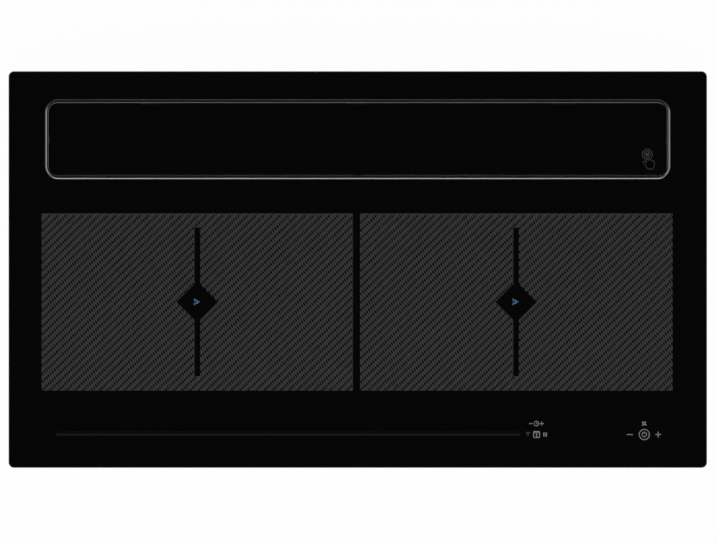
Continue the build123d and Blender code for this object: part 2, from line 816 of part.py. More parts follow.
# Outlet box: flat duct spigot with a seat frame for the leaves
outlet_end_y = glass_depth / 2 - outlet_rear_inset
duct_middle_z = (duct_top_z + scroll_bottom_z) / 2
leaf_y = scroll_end_y + leaf_pin_inset


def duct_plane(y):
    return Plane((outlet_x, y, duct_middle_z), x_dir=(1, 0, 0), z_dir=(0, 1, 0))


with BuildPart() as outlet_box:
    with BuildSketch(duct_plane(scroll_end_y)):
        RectangleRounded(duct_width, duct_height, 2 * moulding)
    extrude(amount=outlet_end_y - scroll_end_y)
    with BuildSketch(duct_plane(hopper_rear_y + moulding)):
        RectangleRounded(duct_width + 2 * moulding, duct_height + 2 * moulding, 3 * moulding)
    extrude(amount=moulding)
    with BuildSketch(duct_plane(scroll_end_y)):
        RectangleRounded(duct_width - 2 * moulding, duct_height - 2 * moulding, moulding)
    extrude(amount=outlet_end_y - scroll_end_y, mode=Mode.SUBTRACT)
    with BuildSketch(duct_plane(leaf_y - knuckle_radius - leaf_gap - moulding)):
        frame(duct_width - moulding, duct_height - moulding, 3 * moulding, 2 * moulding)
    extrude(amount=moulding)
keep(outlet_box, "outlet_box")

# Upright hinge pin and the two backdraft leaves
duct_low_z = scroll_bottom_z + moulding
duct_high_z = duct_top_z - moulding
with BuildPart() as leaf_pin:
    with BuildSketch(Plane.XY.offset(duct_low_z)):
        with Locations((outlet_x, leaf_y)):
            Circle(hinge_radius)
    extrude(amount=duct_high_z - duct_low_z)
keep(leaf_pin, "leaf_pin")

leaf_height = duct_high_z - duct_low_z - 2 * leaf_gap
leaf_reach = duct_width / 2 - moulding - leaf_gap
leaf_start = knuckle_radius + leaf_gap
knuckle_step = leaf_height / 4
for order, (side_name, side) in enumerate(sides):
    with BuildPart() as leaf:
        with Locations((outlet_x + side * (leaf_start + leaf_reach) / 2, leaf_y, duct_low_z + leaf_gap)):
            Box(
                leaf_reach - leaf_start,
                leaf_thick,
                leaf_height,
                align=(Align.CENTER, Align.CENTER, Align.MIN),
            )
        for row in (order, order + 2):
            z = duct_low_z + leaf_gap + row * knuckle_step + leaf_gap / 4
            with Locations((outlet_x + side * (leaf_start + 1) / 2, leaf_y, z)):
                Box(
                    leaf_start + 1,
                    leaf_thick,
                    knuckle_step - leaf_gap / 2,
                    align=(Align.CENTER, Align.CENTER, Align.MIN),
                )
            with Locations((outlet_x, leaf_y, z)):
                Cylinder(
                    knuckle_radius,
                    knuckle_step - leaf_gap / 2,
                    align=(Align.CENTER, Align.CENTER, Align.MIN),
                )
        with Locations((outlet_x, leaf_y, duct_middle_z)):
            Cylinder(hinge_radius + hinge_fit, 2 * duct_height, mode=Mode.SUBTRACT)
    keep(leaf, f"backdraft_leaf_{side_name}")

# Overflow tray: its flanges slide on the rails, a pull lip faces the front
overflow_top_z = duct_top_z - overflow_drop
overflow_length = hopper_depth - 4
with BuildPart() as overflow_tray:
    with BuildSketch(Plane.XY.offset(overflow_top_z - overflow_depth)):
        with Locations((overflow_x, intake_y)):
            RectangleRounded(overflow_width, overflow_length, 3 * rail_thick)
    extrude(amount=overflow_depth)
    with BuildSketch(Plane.XY.offset(overflow_top_z - rail_thick)):
        with Locations((overflow_x, intake_y)):
            Rectangle(2 * (rail_half - rail_thick - 0.5), overflow_length)
    extrude(amount=rail_thick)
    with BuildSketch(Plane.XY.offset(overflow_top_z - overflow_depth + rail_thick)):
        with Locations((overflow_x, intake_y)):
            RectangleRounded(overflow_width - 2 * rail_thick, overflow_length - 2 * rail_thick, 2 * rail_thick)
    extrude(amount=overflow_depth, mode=Mode.SUBTRACT)
    with BuildSketch(Plane.XY.offset(overflow_top_z - overflow_depth / 2)):
        with Locations((overflow_x, intake_y - overflow_length / 2 - 5)):
            RectangleRounded(overflow_width / 2, 14, 4)
    extrude(amount=rail_thick)
keep(overflow_tray, "overflow_tray")

# Induction windings, each one unbroken wire of half turns and straights
coil_z = glass_bottom_z - insulation - coil_gap - wire_radius
coil_bottom_z = coil_z - wire_radius
plate_top_z = coil_bottom_z - coil_gap - ferrite_thick
plate_bottom_z = plate_top_z - coil_sheet
half_straight = coil_straight / 2
with BuildPart() as winding:
    with BuildLine() as wire:
        for turn in range(coil_turns):
            radius = coil_start_radius + turn * wire_pitch
            CenterArc((0, half_straight), radius, 0, 180)
            Line((-radius, half_straight), (-radius, -half_straight))
            CenterArc((wire_pitch / 2, -half_straight), radius + wire_pitch / 2, 180, 180)
            Line((radius + wire_pitch, -half_straight), (radius + wire_pitch, half_straight))
    with BuildSketch(Plane((coil_start_radius, half_straight, 0), z_dir=(0, 1, 0))):
        Circle(wire_radius)
    sweep(path=wire.wires()[0])

wire_points = [wire.wires()[0] @ (step / 1200) for step in range(1201)]
wire_length = wire.wires()[0].length
least_gap = min(
    (first - second).length - 2 * wire_radius
    for place, first in enumerate(wire_points)
    for other, second in enumerate(wire_points)
    if (other - place) * wire_length / 1200 > 6 * wire_radius
)
print("least gap between turns of a winding", round(least_gap, 2))

for side_name, side in sides:
    with BuildPart() as coil_windings:
        for shift in (-coil_spacing / 2, coil_spacing / 2):
            with Locations((side * zone_x + shift, zone_y, coil_z)):
                add(winding.part)
    keep(coil_windings, f"coil_windings_{side_name}")

zone_places = [(-zone_x, zone_y), (zone_x, zone_y)]
coil_places = [(side * zone_x + shift * coil_spacing / 2, zone_y) for side in (-1, 1) for shift in (-1, 1)]

with BuildPart() as insulation_sheets:
    with BuildSketch(Plane.XY.offset(glass_bottom_z - insulation)):
        with Locations(*zone_places):
            RectangleRounded(zone_length, zone_depth, 8)
    extrude(amount=insulation)
keep(insulation_sheets, "insulation_sheets")

with BuildPart() as ferrite_bars:
    with BuildSketch(Plane.XY.offset(plate_top_z)):
        with Locations(*coil_places):
            with PolarLocations(coil_start_radius + 4 + ferrite_length / 2, 8):
                Rectangle(ferrite_length, ferrite_width)
    extrude(amount=ferrite_thick)
keep(ferrite_bars, "ferrite_bars")

with BuildPart() as coil_plates:
    with BuildSketch(Plane.XY.offset(plate_bottom_z)):
        with Locations(*zone_places):
            RectangleRounded(zone_length, zone_depth, 8)
            with GridLocations(coil_spacing, zone_depth - 30, 2, 2):
                SlotOverall(coil_spacing / 2, 8, mode=Mode.SUBTRACT)
    extrude(amount=coil_sheet)
keep(coil_plates, "coil_plates")

with BuildPart() as coil_sensors:
    with BuildSketch(Plane.XY.offset(plate_top_z)):
        with Locations(*coil_places):
            Circle(8)
    extrude(amount=glass_bottom_z - insulation - plate_top_z)
keep(coil_sensors, "coil_sensors")

# Power boards with heat sinks and capacitors; posts carry them and the coil plates
board_places = [(-board_x, board_y), (board_x, board_y)]
board_z = tray_floor_z + board_lift
with BuildPart() as power_boards:
    with BuildSketch(Plane.XY.offset(board_z)):
        with Locations(*board_places):
            RectangleRounded(board_length, board_depth, 3)
    extrude(amount=board_thick)
keep(power_boards, "power_boards")

with BuildPart() as support_posts:
    with BuildSketch(Plane.XY.offset(tray_floor_z)):
        with Locations(*board_places):
            with GridLocations(board_length - 15, board_depth - 15, 2, 2):
                Circle(4)
    extrude(amount=board_lift)
    with BuildSketch(Plane.XY.offset(tray_floor_z)):
        with Locations(*zone_places):
            with GridLocations(zone_length - 56, zone_depth - 60, 2, 2):
                Circle(5)
    extrude(amount=plate_bottom_z - tray_floor_z)
keep(support_posts, "support_posts")

with BuildPart() as heat_sinks:
    with BuildSketch(Plane.XY.offset(board_z + board_thick)):
        with Locations(*board_places):
            Rectangle(150, 62)
    extrude(amount=5)
    with BuildSketch(Plane.XY.offset(board_z + board_thick + 5)):
        with Locations(*board_places):
            with GridLocations(0, 7.5, 1, 9):
                Rectangle(150, 2)
    extrude(amount=20)
keep(heat_sinks, "heat_sinks")

with BuildPart() as board_capacitors:
    with BuildSketch(Plane.XY.offset(board_z + board_thick)):
        with Locations(*board_places):
            with GridLocations(70, 125, 3, 2):
                Circle(12)
    extrude(amount=26)
keep(board_capacitors, "board_capacitors")

# Cooling fans for the electronics
cooler_places = [(-cooler_x, cooler_y), (cooler_x, cooler_y)]
cooler_bore = cooler_size / 2 - 2.5
with BuildPart() as cooler_frames:
    with BuildSketch(Plane.XY.offset(tray_floor_z)):
        with Locations(*cooler_places):
            RectangleRounded(cooler_size, cooler_size, 5)
            Circle(cooler_bore, mode=Mode.SUBTRACT)
    extrude(amount=cooler_height)
    with BuildSketch(Plane.XY.offset(tray_floor_z)):
        with Locations(*cooler_places):
            Circle(15)
            with PolarLocations(cooler_bore / 2, 3):
                Rectangle(cooler_bore + 2, 5)
    extrude(amount=2.5)
    with BuildSketch(Plane.XY.offset(tray_floor_z)):
        with Locations(*cooler_places):
            Circle(hinge_radius)
    extrude(amount=cooler_height - 6)
keep(cooler_frames, "cooler_frames")

for (side_name, side), (x, y) in zip(sides, cooler_places):
    with BuildPart() as cooler_rotor:
        with Locations((x, y, tray_floor_z + 3.5)):
            Cylinder(15, cooler_height - 7, align=(Align.CENTER, Align.CENTER, Align.MIN))
        for blade in range(7):
            angle = math.radians(blade * 360 / 7)
            out = (math.cos(angle), math.sin(angle), 0)
            root = (x + 13 * out[0], y + 13 * out[1], tray_floor_z + cooler_height / 2)
            with BuildSketch(Plane(root, x_dir=(-out[1], out[0], 0), z_dir=out)):
                Rectangle(1.6, 15, rotation=35)
            extrude(amount=cooler_bore - 13 - 1.8)
        with Locations((x, y, tray_floor_z)):
            Cylinder(hinge_radius + hinge_fit, 2 * (cooler_height - 5.5), mode=Mode.SUBTRACT)
    keep(cooler_rotor, f"cooler_rotor_{side_name}")

# Touch board on its carrier, with sensing pads and the slider light strip
touch_top_z = glass_bottom_z - touch_pad_height
touch_bottom_z = touch_top_z - board_thick
with BuildPart() as touch_board:
    with BuildSketch(Plane.XY.offset(touch_bottom_z)):
        with Locations((touch_x, touch_y)):
            RectangleRounded(touch_length, touch_depth, 3)
    extrude(amount=board_thick)
keep(touch_board, "touch_board")

with BuildPart() as touch_carrier:
    with BuildSketch(Plane.XY.offset(touch_bottom_z - 4)):
        with Locations((touch_x, touch_y)):
            RectangleRounded(touch_length + 10, touch_depth + 4, 4)
    extrude(amount=4)
    with BuildSketch(Plane.XY.offset(tray_floor_z)):
        with Locations((touch_x, touch_y)):
            with GridLocations(touch_length / 4, 0, 5, 1):
                Rectangle(8, touch_depth - 10)
    extrude(amount=touch_bottom_z - 4 - tray_floor_z)
keep(touch_carrier, "touch_carrier")

key_places = [(glass_width / 2 - inset, touch_y + 13.6) for inset in (227, 213)]
key_places += [(glass_width / 2 - inset, touch_y) for inset in (231, 220, 209, 98.5, 81, 63)]
with BuildPart() as touch_pads:
    with BuildSketch(Plane.XY.offset(touch_top_z)):
        with Locations(*key_places):
            Circle(4)
        with Locations((slider_x, touch_y)):
            SlotOverall(slider_length, slider_depth)
    extrude(amount=touch_pad_height)
keep(touch_pads, "touch_pads")

# Terminal box with its block and cable gland, and the fan driver box
box_length = 130
box_depth = 70
box_height = 35
gland_z = tray_bottom_z - box_height / 2
gland_x = box_x + box_length / 2
with BuildPart() as terminal_box:
    with BuildSketch(Plane.XY.offset(tray_bottom_z - box_height)):
        with Locations((box_x, box_y)):
            RectangleRounded(box_length, box_depth, 6)
    extrude(amount=box_height)
    with BuildSketch(Plane.XY.offset(tray_bottom_z - box_height + moulding)):
        with Locations((box_x, box_y)):
            RectangleRounded(box_length - 2 * moulding, box_depth - 2 * moulding, 6 - moulding)
    extrude(amount=box_height, mode=Mode.SUBTRACT)
    with BuildSketch(Plane((gland_x - 3 * moulding, box_y, gland_z), x_dir=(0, 1, 0), z_dir=(1, 0, 0))):
        Circle(gland_radius + press_fit)
    extrude(amount=4 * moulding, mode=Mode.SUBTRACT)
keep(terminal_box, "terminal_box")

with BuildPart() as terminal_block:
    with BuildSketch(Plane.XY.offset(tray_bottom_z - box_height + moulding)):
        with Locations((box_x - 10, box_y)):
            Rectangle(84, 26)
    extrude(amount=20)
    with BuildSketch(Plane.XY.offset(tray_bottom_z - box_height + moulding + 12)):
        with Locations((box_x - 10, box_y)):
            with GridLocations(16, 13, 5, 2):
                Circle(3)
    extrude(amount=8, mode=Mode.SUBTRACT)
keep(terminal_block, "terminal_block")

gland_start = gland_x - moulding - 6
with BuildPart() as cable_gland:
    for start, length, radius in ((gland_start, 6 + moulding, gland_radius), (gland_x + 8, 12, gland_radius + 1)):
        with BuildSketch(Plane((start, box_y, gland_z), x_dir=(0, 1, 0), z_dir=(1, 0, 0))):
            Circle(radius)
        extrude(amount=length)
    with BuildSketch(Plane((gland_x, box_y, gland_z), x_dir=(0, 1, 0), z_dir=(1, 0, 0))):
        RegularPolygon(gland_radius + 5, 6)
    extrude(amount=8)
    with BuildSketch(Plane((gland_start, box_y, gland_z), x_dir=(0, 1, 0), z_dir=(1, 0, 0))):
        Circle(gland_bore)
    extrude(amount=60, mode=Mode.SUBTRACT)
keep(cable_gland, "cable_gland")

with BuildPart() as driver_box:
    with BuildSketch(Plane.XY.offset(tray_bottom_z - box_height + 5)):
        with Locations((-box_x - 15, box_y)):
            RectangleRounded(100, box_depth, 6)
    extrude(amount=box_height - 5)
    with BuildSketch(Plane.XY.offset(tray_bottom_z - box_height + 5 + moulding)):
        with Locations((-box_x - 15, box_y)):
            RectangleRounded(100 - 2 * moulding, box_depth - 2 * moulding, 6 - moulding)
    extrude(amount=box_height, mode=Mode.SUBTRACT)
keep(driver_box, "driver_box")

# Base tray: folded sheet with rim flange, hopper hole, vents and stiffening beads
with BuildPart() as base_tray:
    with BuildSketch(Plane.XY.offset(tray_bottom_z)):
        RectangleRounded(tray_width, tray_length, tray_corner)
    extrude(amount=tray_height)
    fillet(base_tray.faces().sort_by(Axis.Z)[0].edges(), 2 * sheet)
    with BuildSketch(Plane.XY.offset(glass_bottom_z - sheet)):
        RectangleRounded(tray_width + 2 * tray_flange, tray_length + 2 * tray_flange, tray_corner + tray_flange)
    extrude(amount=sheet)
    with BuildSketch(Plane.XY.offset(tray_floor_z)):
        RectangleRounded(tray_width - 2 * sheet, tray_length - 2 * sheet, tray_corner - sheet)
    extrude(amount=tray_height, mode=Mode.SUBTRACT)
    with BuildSketch(Plane.XY.offset(tray_bottom_z - sheet)):
        for side in (-1, 1):
            with Locations((side * cooler_x, cooler_y + 95), (side * cooler_x, cooler_y - 105)):
                SlotOverall(70, 10)
    extrude(amount=sheet)
    with BuildSketch(Plane.XY.offset(tray_bottom_z)):
        with Locations((0, intake_y)):
            RectangleRounded(
                hopper_length + 2 * tray_hole_clear,
                hopper_depth + 2 * tray_hole_clear,
                hopper_corner + tray_hole_clear,
            )
        with Locations(*foot_holes, *pads):
            Circle(screw_radius + screw_fit)
        with Locations((box_x, box_y), (-box_x - 15, box_y)):
            Circle(12)
        for x, y in cooler_places:
            for row in range(-3, 4):
                with Locations((x, y + row * 9)):
                    SlotOverall(2 * math.sqrt((cooler_bore - 4) ** 2 - (row * 9) ** 2), 5)
        with Locations((-cooler_x, cooler_y + 130), (cooler_x, cooler_y + 130)):
            with GridLocations(10, 0, 7, 1):
                SlotOverall(30, 4, rotation=90)
        with Locations((0, touch_y + 20)):
            with GridLocations(10, 0, 15, 1):
                SlotOverall(24, 4, rotation=90)
    extrude(amount=sheet, mode=Mode.SUBTRACT)
keep(base_tray, "base_tray")

# Screws that hold the hopper (heads below) and the suction box (heads inside)
with BuildPart() as housing_screws:
    with BuildSketch(Plane.XY.offset(suction_top_z - screw_head_height)):
        with Locations(*foot_holes):
            Circle(screw_head)
    extrude(amount=screw_head_height)
    with BuildSketch(Plane.XY.offset(suction_top_z)):
        with Locations(*foot_holes):
            Circle(screw_radius)
    extrude(amount=moulding + 3 * sheet)
    with BuildSketch(Plane.XY.offset(tray_floor_z)):
        with Locations(*pads):
            Circle(screw_head)
    extrude(amount=screw_head_height)
    with BuildSketch(Plane.XY.offset(suction_top_z - moulding)):
        with Locations(*pads):
            Circle(screw_radius)
    extrude(amount=2 * moulding + sheet)
keep(housing_screws, "housing_screws")

# Screws of the scroll flange and of the motor base, heads below
with BuildPart() as fan_screws:
    with BuildSketch(Plane.XY.offset(scroll_split_z - flange_thick - screw_head_height)):
        with Locations(*flange_holes):
            Circle(screw_head)
    extrude(amount=screw_head_height)
    with BuildSketch(Plane.XY.offset(scroll_split_z - flange_thick)):
        with Locations(*flange_holes):
            Circle(screw_radius)
    extrude(amount=2 * flange_thick)
    with BuildSketch(Plane.XY.offset(scroll_bottom_z - screw_head_height)):
        with Locations((fan_x, fan_y)):
            with PolarLocations(grommet_circle, 4, 45):
                Circle(screw_head)
    extrude(amount=screw_head_height)
    with BuildSketch(Plane.XY.offset(scroll_bottom_z)):
        with Locations((fan_x, fan_y)):
            with PolarLocations(grommet_circle, 4, 45):
                Circle(screw_radius)
    extrude(amount=moulding + grommet_thick + flange_thick)
keep(fan_screws, "fan_screws")

# Worktop clamps: brackets on the tray sides, upright screws and turning claws
clamp_x = tray_width / 2 + clamp_out
clamp_low_z = tray_bottom_z + 2
clamp_high_z = clamp_low_z + 34
with BuildPart() as clamp_brackets:
    for side in (-1, 1):
        for y in (-clamp_y, clamp_y):
            with Locations((side * (tray_width / 2 + sheet), y, clamp_low_z)):
                Box(2 * sheet, 40, 34, align=(Align.CENTER, Align.CENTER, Align.MIN))
            for z in (clamp_low_z, clamp_high_z - 2 * sheet):
                with Locations((side * (tray_width / 2 + clamp_out - 0.5), y, z)):
                    Box(2 * clamp_out - 1, 16, 2 * sheet, align=(Align.CENTER, Align.CENTER, Align.MIN))
            with Locations((side * clamp_x, y, tray_bottom_z)):
                Cylinder(clamp_screw + hinge_fit, 2 * tray_height, mode=Mode.SUBTRACT)
keep(clamp_brackets, "clamp_brackets")

with BuildPart() as clamp_screws:
    for side in (-1, 1):
        for y in (-clamp_y, clamp_y):
            with BuildSketch(Plane.XY.offset(clamp_low_z - 4)):
                with Locations((side * clamp_x, y)):
                    RegularPolygon(5, 6)
            extrude(amount=4)
            with BuildSketch(Plane.XY.offset(clamp_low_z)):
                with Locations((side * clamp_x, y)):
                    Circle(clamp_screw)
            extrude(amount=clamp_high_z - clamp_low_z + 4)
keep(clamp_screws, "clamp_screws")

for side_name, side in sides:
    for place, y in (("front", -clamp_y), ("rear", clamp_y)):
        inward = -1 if y > 0 else 1
        with BuildPart() as clamp_claw:
            with BuildSketch(Plane.XY.offset(clamp_low_z + 10)):
                with Locations((side * clamp_x, y)):
                    Circle(clamp_half)
                with Locations((side * clamp_x, y + inward * clamp_length / 2)):
                    Rectangle(2 * clamp_half, clamp_length)
                with Locations((side * clamp_x, y)):
                    Circle(clamp_screw + hinge_fit, mode=Mode.SUBTRACT)
            extrude(amount=10)
        keep(clamp_claw, f"clamp_claw_{side_name}_{place}")
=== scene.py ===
import bpy
import json
import math
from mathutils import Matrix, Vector


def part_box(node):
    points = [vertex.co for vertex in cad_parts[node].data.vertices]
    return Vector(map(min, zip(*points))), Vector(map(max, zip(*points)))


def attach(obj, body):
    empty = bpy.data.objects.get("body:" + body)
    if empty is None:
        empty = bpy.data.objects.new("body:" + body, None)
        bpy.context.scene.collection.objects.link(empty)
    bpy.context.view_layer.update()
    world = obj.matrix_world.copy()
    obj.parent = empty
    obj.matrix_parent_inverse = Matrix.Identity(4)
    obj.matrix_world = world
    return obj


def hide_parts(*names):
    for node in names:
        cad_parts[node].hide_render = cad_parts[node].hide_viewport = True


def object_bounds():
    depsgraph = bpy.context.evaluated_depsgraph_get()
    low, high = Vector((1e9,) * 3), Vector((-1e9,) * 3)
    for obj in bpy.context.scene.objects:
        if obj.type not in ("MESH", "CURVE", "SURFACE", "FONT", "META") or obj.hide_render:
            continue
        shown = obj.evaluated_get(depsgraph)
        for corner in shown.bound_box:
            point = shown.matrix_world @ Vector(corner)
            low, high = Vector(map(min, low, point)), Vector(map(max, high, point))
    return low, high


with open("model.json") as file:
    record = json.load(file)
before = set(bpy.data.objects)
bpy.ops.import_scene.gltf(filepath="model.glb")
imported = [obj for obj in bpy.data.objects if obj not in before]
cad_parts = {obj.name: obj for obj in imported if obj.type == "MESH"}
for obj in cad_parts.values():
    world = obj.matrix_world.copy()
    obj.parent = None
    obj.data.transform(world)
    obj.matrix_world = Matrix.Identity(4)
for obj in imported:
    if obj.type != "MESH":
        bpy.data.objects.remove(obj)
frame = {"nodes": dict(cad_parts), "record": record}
nodes = frame["nodes"]
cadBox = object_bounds()
mm = 0.001
print("frame loaded,", len(nodes), "nodes")


def deselectAll():
    bpy.ops.object.select_all(action="DESELECT")


def takeUp(piece):
    # this piece alone is selected and active
    deselectAll()
    piece.select_set(True)
    bpy.context.view_layer.objects.active = piece


# camera, straight above the glass as in the picture
cameraSetup = {"lens": 200, "sensor": 36, "seenWidth": 0.92262, "glassTop": 0.008,
               "aimX": 0.0003, "aimY": -0.0006, "clipEnd": 50}


def placeCamera(s):
    deselectAll()
    distance = s["seenWidth"] * s["lens"] / s["sensor"]
    place = (s["aimX"], s["aimY"], s["glassTop"] + distance)
    bpy.ops.object.camera_add(location=place, rotation=(0, 0, 0))
    cam = bpy.context.object
    cam.name = "topCamera"
    cam.data.lens = s["lens"]
    cam.data.sensor_width = s["sensor"]
    cam.data.clip_end = s["clipEnd"]
    bpy.context.scene.camera = cam


placeCamera(cameraSetup)
bpy.context.scene.view_settings.view_transform = "Standard"


# shared node helpers
def maths(tree, kind, first, second=None, third=None):
    # numbers are set on the sockets, outputs are linked
    node = tree.nodes.new("ShaderNodeMath")
    node.operation = kind
    for socket, value in zip(node.inputs, (first, second, third)):
        if isinstance(value, (int, float)):
            socket.default_value = value
        elif value is not None:
            tree.links.new(value, socket)
    return node.outputs[0]


def mixShaders(tree, share, first, second):
    mix = tree.nodes.new("ShaderNodeMixShader")
    tree.links.new(share, mix.inputs[0])
    tree.links.new(first.outputs[0], mix.inputs[1])
    tree.links.new(second.outputs[0], mix.inputs[2])
    return mix


def raysThatShow(tree):
    # 1 for what the camera sees, straight, in gloss or through glass
    path = tree.nodes.new("ShaderNodeLightPath")
    seen = maths(tree, "MAXIMUM", path.outputs["Is Camera Ray"], path.outputs["Is Glossy Ray"])
    return maths(tree, "MAXIMUM", seen, path.outputs["Is Transmission Ray"])


def levelRamp(tree, stops):
    ramp = tree.nodes.new("ShaderNodeValToRGB")
    points = ramp.color_ramp.elements
    for k, (place, level) in enumerate(stops):
        point = points[k] if k < len(points) else points.new(place)
        point.position = place
        point.color = (level, level, level, 1)
    return ramp


# studio: a room that is dark straight above, so that the glass stays black, and
# paler at the sides than at the front and rear; a pale backdrop stands low around it
room = {"byHeight": [(0.0, 0.45), (0.55, 0.5), (0.82, 0.25), (0.94, 0.02)],
        "frontToRear": [(0.0, 0.25), (0.5, 0.8), (0.85, 0.1)],
        "backdropByHeight": [(0.1, 1.0), (0.25, 0.0)], "backdrop": 0.985}


def buildRoom(s):
    world = bpy.data.worlds.new("studioRoom")
    bpy.context.scene.world = world
    world.use_nodes = True
    tree = world.node_tree
    tree.nodes.clear()
    out = tree.nodes.new("ShaderNodeOutputWorld")
    coord = tree.nodes.new("ShaderNodeTexCoord")
    split = tree.nodes.new("ShaderNodeSeparateXYZ")
    tree.links.new(coord.outputs["Generated"], split.inputs[0])

    dim = tree.nodes.new("ShaderNodeBackground")      # what lights the part
    rise = levelRamp(tree, s["byHeight"])
    around = levelRamp(tree, s["frontToRear"])
    turn = tree.nodes.new("ShaderNodeMapRange")
    turn.inputs["From Min"].default_value = -1
    tree.links.new(split.outputs["Z"], rise.inputs[0])
    tree.links.new(split.outputs["Y"], turn.inputs["Value"])
    tree.links.new(turn.outputs["Result"], around.inputs[0])
    tree.links.new(rise.outputs["Color"], dim.inputs["Color"])
    tree.links.new(around.outputs["Color"], dim.inputs["Strength"])

    pale = tree.nodes.new("ShaderNodeBackground")     # the backdrop past the floor, up to a low height
    pale.inputs["Color"].default_value = (s["backdrop"], s["backdrop"], s["backdrop"], 1)
    low = levelRamp(tree, s["backdropByHeight"])
    tree.links.new(split.outputs["Z"], low.inputs[0])
    share = maths(tree, "MULTIPLY", raysThatShow(tree), low.outputs["Color"])
    mix = mixShaders(tree, share, dim, pale)
    tree.links.new(mix.outputs[0], out.inputs["Surface"])


# the top box lights the colours but is not mirrored in the glass;
# the low rear box draws the bezel in views from the front
softBoxes = {
    "frontBox": {"at": (0, -2.9, 1.6), "size": (6.0, 1.2), "watts": 50, "mirrored": True},
    "leftBox": {"at": (-2.3, -0.3, 2.3), "size": (2.4, 1.2), "watts": 6, "mirrored": True},
    "rightBox": {"at": (2.3, -0.3, 2.3), "size": (2.4, 1.2), "watts": 6, "mirrored": True},
    "rearBox": {"at": (0, 3.3, 0.95), "size": (4.4, 1.2), "watts": 16, "mirrored": True},
    "topBox": {"at": (0, -0.3, 3.0), "size": (2.6, 2.0), "watts": 58, "mirrored": False},
}


def hangSoftBoxes(boxes):
    for name, s in boxes.items():
        deselectAll()
        bpy.ops.object.light_add(type="AREA", location=s["at"])
        lamp = bpy.context.object
        lamp.name = name
        lamp.data.shape = "RECTANGLE"
        lamp.data.size, lamp.data.size_y = s["size"]
        lamp.data.energy = s["watts"]
        lamp.rotation_euler = (-Vector(s["at"])).to_track_quat("-Z", "Y").to_euler()
        lamp.visible_glossy = s["mirrored"]
        lamp.visible_camera = False


floorSheet = {"size": 14, "below": 0.0006, "colour": (0.86, 0.86, 0.86, 1), "white": 0.97}


def layFloor(s):
    deselectAll()
    bpy.ops.mesh.primitive_plane_add(size=s["size"], location=(0, 0, cadBox[0][2] - s["below"]))
    floor = bpy.context.object
    floor.name = "paleFloor"
    mat = bpy.data.materials.new("paleFloor")
    mat.use_nodes = True
    tree = mat.node_tree
    tree.nodes.clear()
    out = tree.nodes.new("ShaderNodeOutputMaterial")
    lit = tree.nodes.new("ShaderNodeBsdfDiffuse")
    lit.inputs["Color"].default_value = s["colour"]
    glow = tree.nodes.new("ShaderNodeEmission")
    glow.inputs["Color"].default_value = (1, 1, 1, 1)
    clear = tree.nodes.new("ShaderNodeBsdfTransparent")
    face = tree.nodes.new("ShaderNodeNewGeometry")
    share = maths(tree, "MULTIPLY", raysThatShow(tree), s["white"])     # the rest keeps the shadow
    above = mixShaders(tree, share, lit, glow)
    both = mixShaders(tree, face.outputs["Backfacing"], above, clear)   # open from below
    tree.links.new(both.outputs[0], out.inputs["Surface"])
    floor.data.materials.append(mat)


buildRoom(room)
hangSoftBoxes(softBoxes)
layFloor(floorSheet)
print("studio ready")


# shared surface effects, as node groups
def newGroup(name, inputs, outputs):
    group = bpy.data.node_groups.new(name, "ShaderNodeTree")
    for label, kind, value in inputs:
        socket = group.interface.new_socket(name=label, in_out="INPUT", socket_type=kind)
        if value is not None:
            socket.default_value = value
    for label, kind in outputs:
        group.interface.new_socket(name=label, in_out="OUTPUT", socket_type=kind)
    start = group.nodes.new("NodeGroupInput")
    end = group.nodes.new("NodeGroupOutput")
    return group, start.outputs, end.inputs


def mixColour(tree, factor, first, second):
    mix = tree.nodes.new("ShaderNodeMix")
    mix.data_type = "RGBA"
    tree.links.new(factor, mix.inputs["Factor"])
    tree.links.new(first, mix.inputs["A"])
    tree.links.new(second, mix.inputs["B"])
    return mix.outputs["Result"]


def mixValue(tree, factor, first, second):
    mix = tree.nodes.new("ShaderNodeMapRange")
    tree.links.new(factor, mix.inputs["Value"])
    tree.links.new(first, mix.inputs["To Min"])
    tree.links.new(second, mix.inputs["To Max"])
    return mix.outputs["Result"]


def noise(tree, vector, scale, detail):
    tex = tree.nodes.new("ShaderNodeTexNoise")
    tex.inputs["Detail"].default_value = detail
    if isinstance(scale, (int, float)):
        tex.inputs["Scale"].default_value = scale
    else:
        tree.links.new(scale, tex.inputs["Scale"])
    tree.links.new(vector, tex.inputs["Vector"])
    return tex.outputs["Fac"]


def cellPattern(tree, vector, scale):
    cells = tree.nodes.new("ShaderNodeTexVoronoi")
    tree.links.new(vector, cells.inputs["Vector"])
    tree.links.new(scale, cells.inputs["Scale"])
    return cells


surfaceInputs = [
    ("Vector", "NodeSocketVector", None),
    ("Scale", "NodeSocketFloat", 1000.0),
    ("Dark", "NodeSocketColor", (0.03, 0.03, 0.03, 1)),
    ("Light", "NodeSocketColor", (0.06, 0.06, 0.06, 1)),
    ("Smooth", "NodeSocketFloat", 0.4),
    ("Rough", "NodeSocketFloat", 0.6),
]
surfaceOutputs = [
    ("Color", "NodeSocketColor"),
    ("Roughness", "NodeSocketFloat"),
    ("Height", "NodeSocketFloat"),
]


def closeSurface(group, given, wanted, tone, gloss, height):
    # the last links of a surface effect, from its masks to its outputs
    group.links.new(mixColour(group, tone, given["Dark"], given["Light"]), wanted["Color"])
    group.links.new(mixValue(group, gloss, given["Smooth"], given["Rough"]), wanted["Roughness"])
    group.links.new(height, wanted["Height"])
    return group


# spark-eroded grain of moulded plastic, with slow flow marks
mouldGrain = {"fineDetail": 3, "flowScale": 14, "flowDetail": 4, "cellShare": 0.6}


